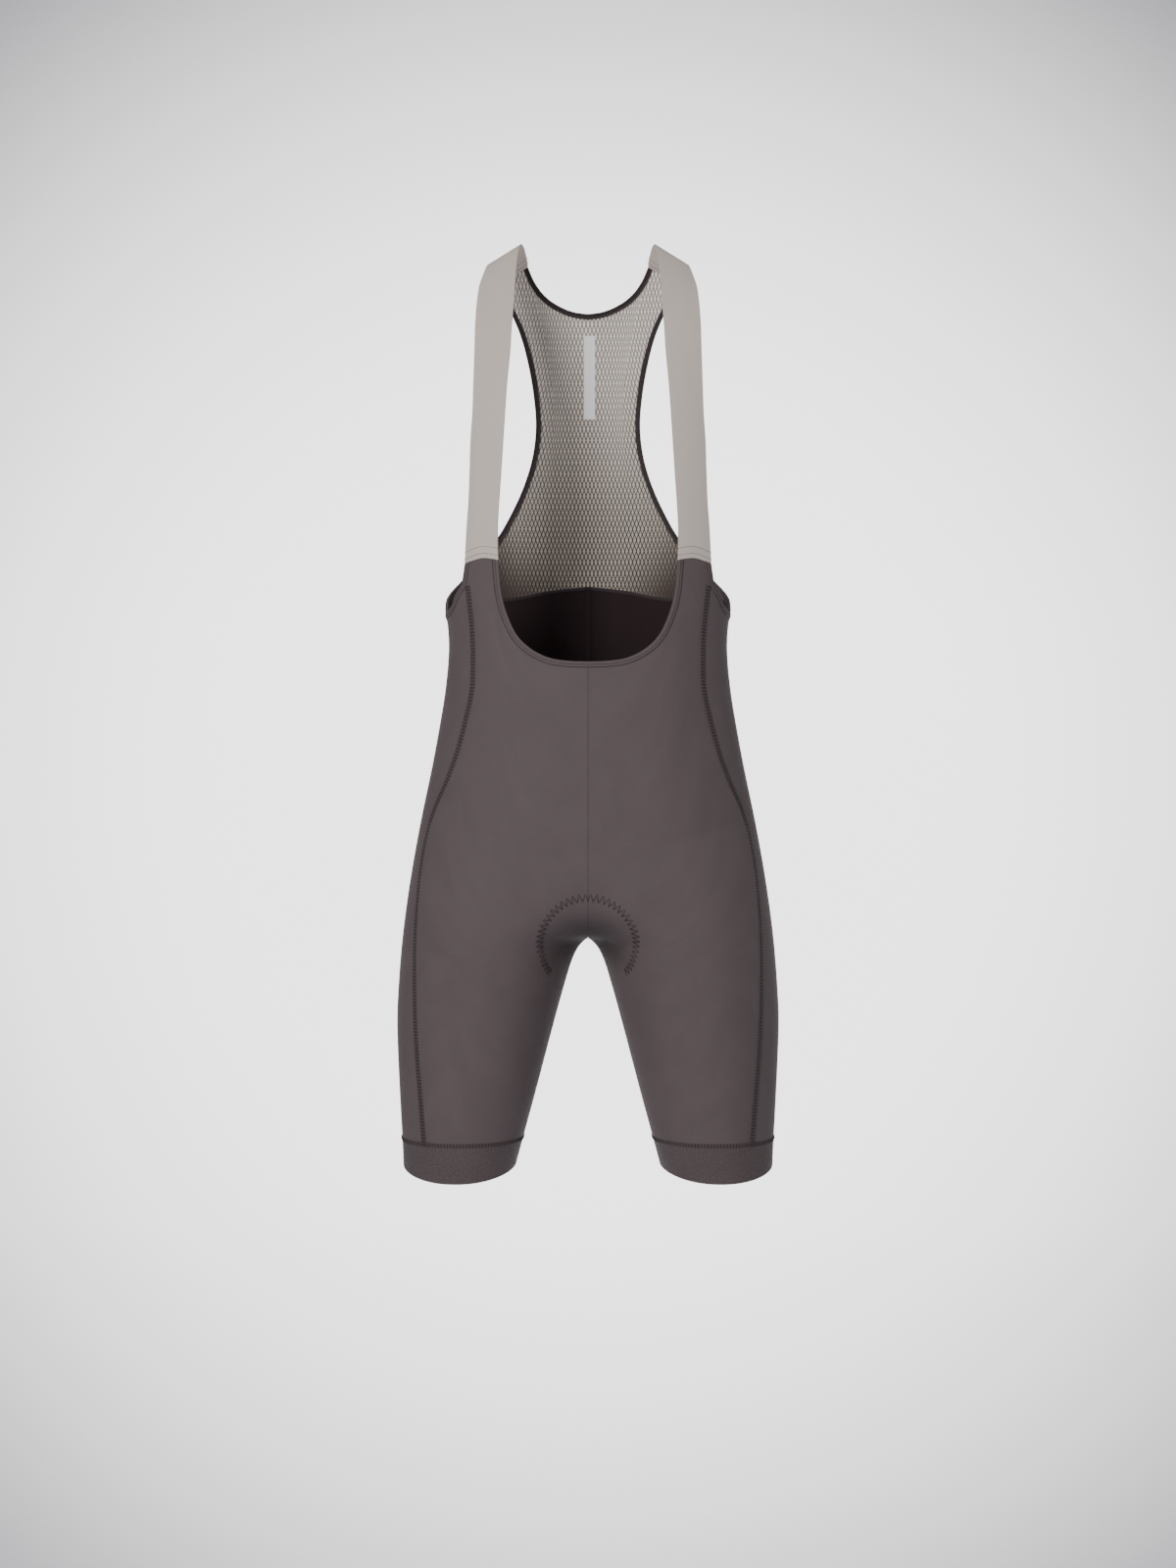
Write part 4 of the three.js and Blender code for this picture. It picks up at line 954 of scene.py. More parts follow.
class Finishes:
    """The materials, made once and read by name."""

    def __init__(self, table: dict[str, Finish]) -> None:
        """Makes every material.

        Args:
            table: the finishes by name.
        """
        self.groups = {g.name: g for g in (knit_grain_group(), open_knit_group(), rib_group())}
        self.made = {name: self.make(name, finish) for name, finish in table.items()}

    def __getitem__(self, name: str) -> bpy.types.Material:
        """Returns a material by its finish's name."""
        return self.made[name]

    def make(self, name: str, finish: Finish) -> bpy.types.Material:
        """Makes one material.

        Args:
            name: its name.
            finish: what it looks like.

        Returns:
            The material.
        """
        material = bpy.data.materials.new(name)
        material.use_nodes = True
        material.node_tree.nodes.clear()
        s = Shader(material.node_tree)
        base = colour(*finish.tint)
        shade = s.fed("ShaderNodeBsdfPrincipled", {
            "Base Color": base, "Roughness": finish.roughness, "Specular IOR Level": finish.specular,
            "Sheen Weight": finish.sheen, "Sheen Roughness": 0.45,
            "Sheen Tint": tuple(min(1, 0.3 + c) for c in base[:3]) + (1.0,),
        })
        s.fed("ShaderNodeOutputMaterial", {"Surface": shade.outputs[0]})
        if finish.grain is Grain.PLAIN:
            return material
        flat = s.node("ShaderNodeUVMap", uv_map="Flat").outputs[0]
        grain = s.node("ShaderNodeGroup", node_tree=self.groups[finish.grain.value])
        for key, value in (("Vector", flat), ("Loop pitch", finish.pitch), ("Rib pitch", finish.pitch),
                           ("Slub", finish.slub), ("Speckle", finish.speckle)):
            if key in grain.inputs:
                s.feed(grain.inputs[key], value)
        net = finish.grain is Grain.NET
        tint = self.net_tint(s, flat, base, grain) if net else self.toned(s, finish, base, grain)
        height = {"Strength": finish.bump, "Distance": 0.0006 if net else 0.0004, "Height": grain.outputs["Height"]}
        s.feed(shade.inputs["Base Color"], tint)
        s.feed(shade.inputs["Normal"], s.fed("ShaderNodeBump", height).outputs[0])
        return material

    @staticmethod
    def net_tint(s: Shader, flat: object, base: tuple[float, ...], grain: bpy.types.Node) -> bpy.types.NodeSocket:
        """Colours the net's cells and lines with painted light at the top, painted shade at the foot and a painted
        shadow in the lower corners.

        Args:
            s: the material's shader.
            flat: the flat coordinates, whose y is the depth below the shoulders.
            base: the colour of the cells at the foot.
            grain: the net's cells.

        Returns:
            The colour.
        """
        x, depth, _ = s.axes(flat)
        tones = {key: colour(*tint) for key, tint in NET_PAINTED_LIGHT.items()}
        # Painted light at the top of the net, fading to painted shade at its foot
        down = s.smooth(depth, 0.04, 0.31)
        cell = s.mix(down, tones["cell_top"], base)
        line = s.mix(down, tones["line_top"], tones["line_low"])
        worn = s.mix(s.smooth(s.noise(s.stretched(flat, 900, 300), 1.0), 0.3, 0.7), line, cell)
        tint = s.mix(grain.outputs["Cell"], line, s.mix(0.84, worn, cell))
        # Painted shadow of the straps and front panels in the net's lower corners
        return s.mix(s.smooth(s.total(s.math("ABSOLUTE", x), depth), 0.32, 0.42), tint, tones["corner"])

    def toned(self, s: Shader, finish: Finish, base: tuple[float, ...],
              grain: bpy.types.Node) -> bpy.types.NodeSocket:
        """Varies a cloth's colour with its grain and paints shade into it between the legs.

        Args:
            s: the material's shader.
            finish: what it looks like.
            base: its colour.
            grain: its grain.

        Returns:
            The colour.
        """
        tone = grain.outputs["Tone"]
        # Painted shade: the colour is darkened between the legs, where little light comes.
        if finish.painted_crotch_shade > 0:
            tone = s.times(tone, s.less(1.0, s.times(self.crotch_shade_mask(s), finish.painted_crotch_shade)))
        return s.fed("ShaderNodeHueSaturation", {"Color": base, "Value": tone}).outputs[0]

    @staticmethod
    def crotch_shade_mask(s: Shader) -> bpy.types.NodeSocket:
        """Rises from 0 on the open cloth to 1 between the legs, where little light comes: the mask of the painted
        shade there.
        """
        x, _, z = s.axes(s.node("ShaderNodeTexCoord").outputs["Object"])
        return s.smooth(s.hypot(s.times(x, 0.8), s.total(z, 0.672)), 0.042, 0.002)


@dataclass(frozen=True)
class Row:
    """A kind of stitch row: its threads' pitch, length and radius, their finish, and the slot of the cloth."""

    stitch: Stitch
    pitch: float
    length: float
    radius: float
    thread: str = "thread_dark"
    slot: str = "stretch_knit"


# Where the stitches run on the bindings, as shares of the way from the edge to the foot
SELF_ROWS, DARK_ROW = (0.5, 0.97), 0.82
ROWS = {
    "self_binding": Row(Stitch.RUNNING, 2.4, 2.1, 0.24),
    "dark_binding": Row(Stitch.RUNNING, 2.4, 1.3, 0.16, "thread_light", "dark_binding"),
    "strap": Row(Stitch.RUNNING, 2.6, 1.9, 0.3, "thread_light", "strap_elastic"),
    "pad": Row(Stitch.ZIGZAG, 2.75, 8.6, 0.26),
    "side_seam": Row(Stitch.LADDER, 3.1, 5.6, 0.46, "thread"),
    "gripper_seam": Row(Stitch.LADDER, 3.1, 4.2, 0.34, "thread"),
}


class StitchRows:
    """Rows of threads, made by one Geometry Nodes group."""

    def __init__(self, finishes: Finishes) -> None:
        """Builds the group and keeps the materials."""
        self.finishes = finishes
        self.tree = self.build_group()

    @staticmethod
    def build_group() -> bpy.types.NodeTree:
        """Makes the group: evenly spaced threads on a path, lying by its run and outward directions."""
        tree = bpy.data.node_groups.new("StitchRow", "GeometryNodeTree")
        kinds = {"Path": "Geometry", "Thread": "Material"}
        for name in ("Path", "Pitch", "Thread Length", "Thread Radius", "Arch", "Turn", "Slant", "Thread"):
            kind = f"NodeSocket{kinds.get(name, 'Float')}"
            tree.interface.new_socket(name=name, in_out="INPUT", socket_type=kind)
        tree.interface.new_socket(name="Stitches", in_out="OUTPUT", socket_type="NodeSocketGeometry")
        s = Shader(tree)
        value = s.node("NodeGroupInput").outputs
        line = s.fed("GeometryNodeMeshToCurve", {"Mesh": value["Path"]}).outputs[0]
        even = s.fed("GeometryNodeResampleCurve", {"Curve": line, "Length": value["Pitch"]}, mode="LENGTH").outputs[0]
        spots = s.fed("GeometryNodeCurveToPoints", {"Curve": even}, mode="EVALUATED").outputs[0]
        turned = (0, 0, 0)
        for name, axis, pivot in (("out", "Z", "AUTO"), ("run", "X", "Z")):
            way = s.fed("GeometryNodeInputNamedAttribute", {"Name": name}, data_type="FLOAT_VECTOR").outputs[0]
            turned = s.fed("FunctionNodeAlignRotationToVector", {"Rotation": turned, "Vector": way}, axis=axis,
                           pivot_axis=pivot).outputs[0]
        index = s.node("GeometryNodeInputIndex").outputs[0]
        sign = s.less(s.times(s.math("MODULO", index, 2.0), 2.0), 1.0)
        angle = s.total(s.times(sign, value["Slant"]), value["Turn"])
        twist = s.fed("FunctionNodeAxisAngleToRotation", {"Axis": (0, 0, 1), "Angle": angle}).outputs[0]
        turned = s.fed("FunctionNodeRotateRotation", {0: turned, 1: twist}, rotation_space="LOCAL").outputs[0]
        sink = s.times(value["Thread Radius"], -0.9)
        ends = {}
        for name, share, height in (("Start", -0.5, sink), ("Middle", 0.0, value["Arch"]), ("End", 0.5, sink)):
            reach = s.times(value["Thread Length"], share)
            ends[name] = s.fed("ShaderNodeCombineXYZ", {0: reach, 2: height}).outputs[0]
        arc = s.fed("GeometryNodeCurveQuadraticBezier", {"Resolution": 4, **ends}).outputs[0]
        ring = {"Resolution": 5, "Radius": value["Thread Radius"]}
        ring = s.fed("GeometryNodeCurvePrimitiveCircle", ring).outputs[0]
        thread = {"Curve": arc, "Profile Curve": ring, "Fill Caps": True}
        thread = s.fed("GeometryNodeCurveToMesh", thread).outputs[0]
        copies = {"Points": spots, "Instance": thread, "Rotation": turned}
        copies = s.fed("GeometryNodeInstanceOnPoints", copies).outputs[0]
        real = s.fed("GeometryNodeRealizeInstances", {0: copies}).outputs[0]
        made = s.fed("GeometryNodeSetMaterial", {"Geometry": real, "Material": value["Thread"]}).outputs[0]
        s.fed("NodeGroupOutput", {0: made})
        return tree

    def sew(self, name: str, paths: Sequence[Path], row: Row) -> bpy.types.Object:
        """Sews rows of one kind and returns them as one plain mesh.

        Args:
            name: the object's name.
            paths: the rows, on the cloth's outer face.
            row: the kind.

        Returns:
            The object, riding the frame.
        """
        points = np.vstack([p.points for p in paths])
        edges, base = [], 0
        for path in paths:
            index = np.arange(len(path.points)) + base
            edges.append(np.stack([index[:-1], index[1:]], axis=1))
            if path.closed:
                edges.append(np.array([[index[-1], index[0]]]))
            base += len(index)
        mesh = bpy.data.meshes.new(name)
        mesh.from_pydata((points * MM).tolist(), np.vstack(edges).tolist(), [])
        for key, vectors in (("out", [p.outs for p in paths]), ("run", [p.runs() for p in paths])):
            layer = mesh.attributes.new(key, "FLOAT_VECTOR", "POINT")
            layer.data.foreach_set("vector", np.vstack(vectors).ravel())
        thing = bpy.data.objects.new(name, mesh)
        bpy.context.scene.collection.objects.link(thing)
        modifier = thing.modifiers.new("rows", "NODES")
        modifier.node_group = self.tree
        turn, slant = (math.radians(angle) for angle in row.stitch.value)
        values = {"Pitch": row.pitch * MM, "Thread Length": row.length * MM, "Thread Radius": row.radius * MM,
                  "Arch": row.radius * 2.2 * MM, "Turn": turn, "Slant": slant, "Thread": self.finishes[row.thread]}
        for item in self.tree.interface.items_tree:
            if item.in_out == "INPUT" and item.name in values:
                modifier[item.identifier] = values[item.name]
        graph = bpy.context.evaluated_depsgraph_get()
        made = bpy.data.meshes.new_from_object(thing.evaluated_get(graph))
        thing.modifiers.clear()
        thing.data = made
        made.name = name
        made.shade_smooth()
        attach(thing, "root")
        log.info("%s: %d faces", name, len(made.polygons))
        return thing


@dataclass
class Cut:
    """The garment's cutting lines on the form, with how finely each is divided."""

    body: Body
    neck_steps: int = 48
    strap_steps: int = 10
    arm_steps: int = 6
    side_steps: int = 56
    mesh_rows: int = 90
    scoop_steps: int = 36
    neck: dict[str, Spots] = field(init=False)
    arm: dict[str, Spots] = field(init=False)
    scoop: dict[str, Spots] = field(init=False)
    mesh: dict[str, Spots] = field(init=False)

    def __post_init__(self) -> None:
        """Works out every cutting line."""
        body, f = self.body, self.body.form
        self.foot_z, self.back_z = Curve(STRAP_FOOT), Curve(BACK_SEAM)
        self.strap_inner, self.strap_outer = STRAP_FOOT[0][0], STRAP_FOOT[-1][0]
        edge = body.along(NECKLINE, -1, self.neck_steps)
        edge.put(-1, self.foot_spot(self.strap_inner))
        self.neck = self.lines(edge, f.binding_width, 1, -1, lambda width: self.foot_spot(self.strap_inner + width))
        front = body.along(ARMHOLE_FRONT, -1, self.arm_steps)
        rows = [(front.turn[-1] * TURN_LENGTH, front.level[-1] * f.chart_step)]
        rows += [(degrees / 90 * TURN_LENGTH, f.trunk_top - z) for degrees, z in ARMHOLE_SIDE]
        path = smooth_path(np.array(rows), self.side_steps)
        edge = Spots.join(front, Spots(path[:, 1] / f.chart_step, path[:, 0] / TURN_LENGTH)[1:])
        edge.put(0, self.foot_spot(self.strap_outer))
        self.arm = self.lines(edge, f.binding_width, 1, 0, lambda width: self.foot_spot(self.strap_outer - width))
        self.join_start, self.join_end = np.array(NECK_SCOOP[-1], float), np.array(MESH_SIDE[-1], float)
        self.join_length = float(np.linalg.norm(self.join_end - self.join_start))
        edge = body.along(NECK_SCOOP, 1, self.scoop_steps)
        self.scoop = self.lines(edge, f.dark_binding_width, -1, -1, lambda width: self.join_spot(width, f.half_seam))
        corner = body.point(self.arm["edge"].level[-1], self.arm["edge"].turn[-1])
        edge = body.along([(corner[0], corner[2]), *MESH_SIDE][::-1], 1, self.mesh_rows)
        self.mesh = self.lines(edge, f.dark_binding_width, -1, 0,
                               lambda width: self.join_spot(self.join_length - width, f.half_seam))

    def lines(self, edge: Spots, width: float, sign: int, end: int,
              meet: Callable[[float], Spots]) -> dict[str, Spots]:
        """Works out a cut edge, the foot of its binding and the edge of the panel beside it.

        Args:
            edge: the cut edge.
            width: of its binding.
            sign: 1 where the cloth lies to the right of the edge's run, else -1.
            end: which spot meets the strap, the first (0) or the last (-1).
            meet: gives that spot for a distance from the edge.

        Returns:
            The three lines.
        """
        made = {}
        for name, away in (("edge", 0.0), ("band", width), ("panel", width + self.body.form.edge_gap)):
            line = self.body.inset(edge, sign * away) if away else Spots(edge.level.copy(), edge.turn.copy())
            line.put(end, meet(away))
            made[name] = line
        return made

    def foot_spot(self, x: Array | float) -> Spots:
        """Finds spots of the front panel's edge under the strap."""
        return self.body.trunk_spot(x, self.foot_z(x) - self.body.form.half_seam, -1)

    def join_spot(self, along: Array | float, drop: float) -> Spots:
        """Finds spots of the line where the mesh meets the strap.

        Args:
            along: how far from the neck, outwards.
            drop: how far below the line.

        Returns:
            The spots.
        """
        share = np.asarray(along, float) / self.join_length
        x = lerp(self.join_start[0], self.join_end[0], share)
        return self.body.trunk_spot(x, lerp(self.join_start[1], self.join_end[1], share) - drop, 1)


class Garment:
    """The whole garment, one method for each sub-assembly."""

    def __init__(self, finishes: Finishes) -> None:
        """Prepares the form, the cutting lines and the stitch maker."""
        self.form = Form()
        self.body = Body(self.form)
        self.cut = Cut(self.body)
        self.finishes = finishes
        self.stitches = StitchRows(finishes)
        self.pieces: dict[str, bpy.types.Object] = {}
        self.areas: dict[str, float] = {}
        self.trims: dict[str, list[bpy.types.Object]] = {}

    def add(self, node: str, sheet: Sheet, cloth: Cloth) -> None:
        """Makes the piece that stands for a node of the frame.

        Args:
            node: the node.
            sheet: the piece's net.
            cloth: its walls and finishes.
        """
        piece = build_wall(f"{node}_cloth", sheet, cloth, self.finishes)
        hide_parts(node)
        self.pieces[node], self.areas[node] = piece, sheet.area()

    def add_pair(self, node: str, sheet: Sheet, cloth: Cloth) -> None:
        """Makes a piece and its mirror image."""
        for side in Side:
            self.add(f"{node}_{side.name.lower()}", sheet.on(side), cloth)

    def tape(self, name: str, path: Path, size: tuple[float, float], cloth: Cloth, node: str) -> None:
        """Makes a band that is sewn to a node's cloth.

        Args:
            name: the band's name.
            path: the line that it follows.
            size: its width and rise.
            cloth: its walls and finishes.
            node: the node.
        """
        made = build_wall(name, path.ribbon(*size), cloth, self.finishes)
        self.trims.setdefault(node, []).append(made)

    def sew(self, name: str, paths: Sequence[Path], row: str, node: str) -> None:
        """Sews rows of stitches to a node's cloth.

        Args:
            name: the rows' name.
            paths: where they run.
            row: their kind.
            node: the node.
        """
        self.trims.setdefault(node, []).append(self.stitches.sew(name, paths, ROWS[row]))

    def levels(self) -> Array:
        """Returns the levels of the panels' rows from the waist to the gripper."""
        f = self.form
        last = 3 - f.half_seam / (f.crotch_row_outer - f.gripper_top)
        counts = (FINE.trunk_rows, FINE.crotch_rows, FINE.leg_rows)
        parts = [np.linspace(start, start + 1, count + 1)[:-1] for start, count in enumerate(counts)]
        return np.concatenate([*parts, [last]])

    def path(self, spots: Spots, closed: bool = False) -> Path:
        """Makes a stitch path on the form's outer face."""
        return Path(self.body.point(spots.level, spots.turn), self.body.normal(spots), closed)

    def relief(self, points: Array) -> Array:
        """Works out how the cloth stands off the plain form: middle seams, soft creases and side seams.

        Args:
            points: places on the form.

        Returns:
            How far the cloth stands off there.
        """
        x, y, z = points[..., 0], points[..., 1], points[..., 2]
        ridge = np.exp(-x / 15) * np.clip((z + 640) / 60, 0, 1)
        thigh = bell(x - 62, 34)
        fold = np.zeros_like(x)
        for rise, height, lean, width in CREASES:
            away = (z - height - lean * x) * 0.85
            fold += rise * thigh * (bell(away, width) - 0.6 * bell(away - 1.6 * width, width))
        return ridge + 0.55 * fold - 0.35 * bell(x - self.body.seam_x(z), 7) * (y < 0)

    def panel(self, top: Spots, shares: Array, ends: Callable[[float], tuple[float, float]],
              weight: Callable[[Array], Array]) -> Sheet:
        """Makes a panel's net: its columns fan from its top edge to the waist, then follow the levels.

        Args:
            top: the spots of the top edge.
            shares: each column's share of the way across.
            ends: gives the panel's first and last turn on a level.
            weight: how much each column bends with the side seam above the waist.

        Returns:
            The net.
        """
        body = self.body
        first = body.share_turns(0.0, *ends(0.0), shares)
        seam_top = self.cut.arm["panel"][self.cut.arm_steps]
        rows = []
        for part in np.linspace(0, 1, FINE.fan_rows + 1)[:-1]:
            straight = lerp(body.seam_turn(seam_top.level), body.seam_turn(0.0), part)
            bend = body.seam_turn(seam_top.level * (1 - part)) - straight
            rows.append(Spots(top.level * (1 - part), lerp(top.turn, first, part) + bend * weight(shares)))
        for level in self.levels():
            turns = body.share_turns(level, *ends(level), shares)
            rows.append(Spots(np.full_like(turns, level), turns))
        spots = Spots(np.stack([r.level for r in rows]), np.stack([r.turn for r in rows]))
        points = body.point(spots.level, spots.turn)
        points[..., 0] = np.maximum(points[..., 0], self.form.half_seam)
        normals = body.normal(spots)
        moved = points + normals * self.relief(points)[..., None]
        return Sheet.grid(self.softened(moved), unit(normals))

    def softened(self, points: Array) -> Array:
        """Relaxes a panel's net round the crotch, where the trunk's underside turns into the inner thigh.

        Args:
            points: the net.

        Returns:
            The relaxed net, with its edges and everything farther than the pad's outline in place.
        """
        f = self.form
        away = np.hypot(points[..., 0], points[..., 2] - f.crotch)
        weight = 0.8 * np.clip((f.soft_reach - away) / f.soft_blend, 0, 1)[1:-1, 1:-1, None]
        net = points.copy()
        for _ in range(f.soft_rounds):
            mean = (net[2:, 1:-1] + net[:-2, 1:-1] + net[1:-1, 2:] + net[1:-1, :-2]) / 4
            net[1:-1, 1:-1] += weight * (mean - net[1:-1, 1:-1])
        return net

    def seam_end(self, sign: int) -> Spots:
        """Returns the spot beside the side seam at the armhole."""
        spot = self.cut.arm["panel"][self.cut.arm_steps]
        half = self.form.half_seam / (self.cut.strap_outer * math.pi / 2)
        return Spots(np.array([spot.level]), np.array([spot.turn + sign * half]))

    def build_panels(self) -> None:
        """Makes the fronts and the side-and-backs."""
        body, cut, f = self.body, self.cut, self.form
        inset = f.binding_width + f.edge_gap
        columns = np.linspace(cut.strap_inner + inset, cut.strap_outer - inset, cut.strap_steps + 1)
        neck, arm = cut.neck["panel"], cut.arm["panel"]
        front_top = Spots.join(neck[:-1], cut.foot_spot(columns), arm[1 : cut.arm_steps], self.seam_end(-1))
        reach = body.point(neck.level, neck.turn)[:, 0]
        share = np.arange(cut.neck_steps + 1) / cut.neck_steps
        neck_share, foot_share = 0.8, 0.93
        front_shares = np.concatenate([
            neck_share * (share + reach / reach[-1]) / 2,
            np.linspace(neck_share, foot_share, cut.strap_steps + 1)[1:],
            np.linspace(foot_share, 1, cut.arm_steps + 1)[1:],
        ])
        front = self.panel(front_top, front_shares, lambda level: (-1.0, float(body.seam_turn(level))),
                           lambda s: np.maximum(0, (s - neck_share) / (1 - neck_share)))
        x = np.linspace(body.point(arm.level[-1], arm.turn[-1])[0], 0, FINE.back_columns + 1)
        back_top = body.trunk_spot(x, cut.back_z(x) - f.half_seam, 1)
        side_top = Spots.join(self.seam_end(1), arm[cut.arm_steps + 1 : -1], back_top)
        side_shares = np.concatenate([np.linspace(0, 0.5, cut.side_steps + 1),
                                      np.linspace(0.5, 1, FINE.back_columns + 1)[1:]])
        side = self.panel(side_top, side_shares, lambda level: (float(body.seam_turn(level)), 1.0),
                          lambda s: np.maximum(0, 1 - s / 0.3))
        cloth = Cloth(0, -f.wall, "knit", "knit_inside_shaded", "stretch_knit")
        self.add_pair("front_panel", front, cloth)
        self.add_pair("side_panel", side, cloth)

    def gripper_turns(self, count: int) -> Array:
        """Returns the turns of even steps round the top of a gripper."""
        fine = np.linspace(-1, 1, FINE.ring_samples)
        return even_path(np.column_stack([self.body.point(3.0, fine), fine]), count)[:, 3]

    def build_grippers(self) -> None:
        """Makes the bands round the legs, with hems that dip at the front and back."""
        body, f = self.body, self.form
        turns = self.gripper_turns(FINE.ring_columns)
        hem = f.hem_side - f.hem_dip * np.abs(np.sin(turns * math.pi)) ** 1.25
        parts = np.linspace(0, 1, FINE.gripper_rows + 1)
        rows = [lerp(f.gripper_top - f.half_seam, hem, part) for part in parts]
        level = 3 + (f.gripper_top - np.stack(rows)) / f.chart_step
        spots = Spots(level, np.broadcast_to(turns, level.shape))
        points = body.point(spots.level, spots.turn)
        sheet = Sheet.join(Sheet.grid(points, body.normal(spots)))
        self.add_pair("leg_gripper", sheet, Cloth(0, -f.gripper_wall, "gripper", "gripper_inside_shaded", "gripper_elastic"))

    def band(self, lines: dict[str, Spots], columns: int = 6) -> Sheet:
        """Makes a rounded binding between the edge and the foot of a cutting line.

        Args:
            lines: the cutting line.
            columns: how many cells it has across.

        Returns:
            The binding's net.
        """
        edge, foot = lines["edge"], lines["band"]
        part = np.linspace(0, 1.06, columns + 1)[:, None]
        spots = Spots(lerp(edge.level, foot.level, part), lerp(edge.turn, foot.turn, part))
        points, normals = self.body.point(spots.level, spots.turn), self.body.normal(spots)
        rise = self.form.binding_rise * (1 - np.abs(2 * part - 1) ** 4)
        return Sheet.grid(points + normals * rise[..., None], normals)

    def band_row(self, lines: dict[str, Spots], part: float, inside: bool = False) -> Path:
        """Returns a line along a binding.

        Args:
            lines: the cutting line.
            part: the share of the way from its edge to its foot.
            inside: whether it runs on the inner face.

        Returns:
            The line.
        """
        edge, foot = lines["edge"], lines["band"]
        spots = Spots(lerp(edge.level, foot.level, part), lerp(edge.turn, foot.turn, part))
        rise = self.form.binding_rise * (1 - abs(2 * part - 1) ** 4)
        path = self.path(spots).shifted(0, rise - self.form.binding_wall if inside else rise)
        return Path(path.points, -path.outs) if inside else path

    def build_bindings(self) -> None:
        """Makes the bindings, each with its rows of stitches."""
        f, cut = self.form, self.cut
        self_cloth = Cloth(0, -f.binding_wall, "knit", "knit", "stretch_knit")
        dark_cloth = Cloth(0, -f.binding_wall, "dark", "dark", "dark_binding")
        neck, scoop = self.band(cut.neck), self.band(cut.scoop)
        self.add("front_neck_binding", Sheet.join(neck, neck.mirrored()), self_cloth)
        self.add_pair("armhole_binding", self.band(cut.arm), self_cloth)
        self.add("back_neck_binding", Sheet.join(scoop, scoop.mirrored()), dark_cloth)
        self.add_pair("mesh_side_binding", self.band(cut.mesh), dark_cloth)
        faces = (False, True)
        rows = [self.band_row(cut.neck, part).on(side) for part in SELF_ROWS for side in Side]
        self.sew("front_neck_stitches", rows, "self_binding", "front_neck_binding")
        rows = [self.band_row(cut.scoop, DARK_ROW, inside).on(side) for inside in faces for side in Side]
        self.sew("back_neck_stitches", rows, "dark_binding", "back_neck_binding")
        for side in Side:
            name = side.name.lower()
            rows = [self.band_row(cut.arm, part).on(side) for part in SELF_ROWS]
            self.sew(f"armhole_stitches_{name}", rows, "self_binding", f"armhole_binding_{name}")
            rows = [self.band_row(cut.mesh, DARK_ROW, inside).on(side) for inside in faces]
            self.sew(f"mesh_side_stitches_{name}", rows, "dark_binding", f"mesh_side_binding_{name}")

    def build_mesh(self) -> None:
        """Makes the open-knit back, blended between its four edges as seen from behind, and its label."""
        body, cut, f = self.body, self.cut, self.form
        inset = f.dark_binding_width + f.edge_gap
        line = cut.join_spot(np.linspace(inset, cut.join_length - inset, cut.strap_steps + 1), f.half_seam)
        top_spots = Spots.join(cut.scoop["panel"][:-1], line)
        top = body.point(top_spots.level, top_spots.turn)[:, ::2]
        top[0, 0] = 0
        side = body.point(cut.mesh["panel"].level, cut.mesh["panel"].turn)[:, ::2]
        foot_x = side[-1, 0]
        side[-1, 1] = cut.back_z(foot_x) + f.half_seam
        share = np.linspace(0, 1, len(top))
        foot = np.stack([foot_x * share, cut.back_z(foot_x * share) + f.half_seam], axis=1)
        down = np.linspace(0, 1, len(side))[:, None, None]
        across = share[None, :, None]
        middle = np.stack([np.zeros(len(side)), lerp(top[0, 1], foot[0, 1], down[:, 0, 0])], axis=1)
        plan = lerp(middle[:, None], side[:, None], across) + lerp(top[None], foot[None], down)
        plan = plan - lerp(lerp(top[0], top[-1], across), lerp(foot[0], foot[-1], across), down)
        spots = body.trunk_spot(np.maximum(plan[..., 0], 0), plan[..., 1], 1)
        half = Sheet.grid(body.point(spots.level, spots.turn), body.normal(spots))
        half.flat[:, 1] = -half.points[:, 2]
        whole = Sheet.join(half, half.mirrored())
        self.add("back_mesh", whole, Cloth(0, -f.mesh_wall, "open_knit", "open_knit", "open_knit"))
        x, z = np.meshgrid(np.linspace(*LABEL_SIDES, FINE.label_columns + 1),
                           np.linspace(*LABEL_ENDS, FINE.label_rows + 1))
        spots = body.trunk_spot(np.abs(x), z, 1)
        ones = np.ones_like(x)
        flip = np.stack([np.where(x < 0, -1.0, 1.0), ones, ones], axis=2)
        face = -f.mesh_wall - f.label_gap
        sheet = Sheet.grid(body.point(spots.level, spots.turn) * flip, body.normal(spots) * flip)
        self.add("label", sheet, Cloth(face, face - f.label_wall, "label", "label", "woven_label"))

    def strap_rows(self) -> tuple[Array, Array]:
        """Works out the strap's outer face, from the mesh over the shoulder to the front panel."""
        body, cut, f = self.body, self.cut, self.form
        share = np.linspace(0, 1, FINE.strap_columns + 1)
        x = lerp(cut.strap_inner, cut.strap_outer, share)
        foot = body.trunk_spot(x, cut.foot_z(x) + f.half_seam, -1)
        rows = [self.spot_points(foot)]
        for z, inner, outer in STRAP_FRONT:
            rows.append(self.spot_points(body.trunk_spot(lerp(inner, outer, share), z, -1)))
        for neck, outer in STRAP_SHOULDER:
            rows.append(lerp(np.array(neck, float), np.array(outer, float), share[:, None]))
        rows.append(self.spot_points(cut.join_spot(cut.join_length * share, -f.half_seam)))
        net = np.stack(rows[::-1])
        fine = np.stack([smooth_path(net[:, k], FINE.strap_rows) for k in range(net.shape[1])], axis=1)
        normals = unit(np.cross(np.gradient(fine, axis=0), np.gradient(fine, axis=1)))
        ends = [cut.join_spot(cut.join_length * share, -f.half_seam), foot]
        for index, spots in zip((0, -1), ends):
            normals[index] = body.normal(spots)
        return fine, normals

    def spot_points(self, spots: Spots) -> Array:
        """Returns the points of some spots."""
        return self.body.point(spots.level, spots.turn)

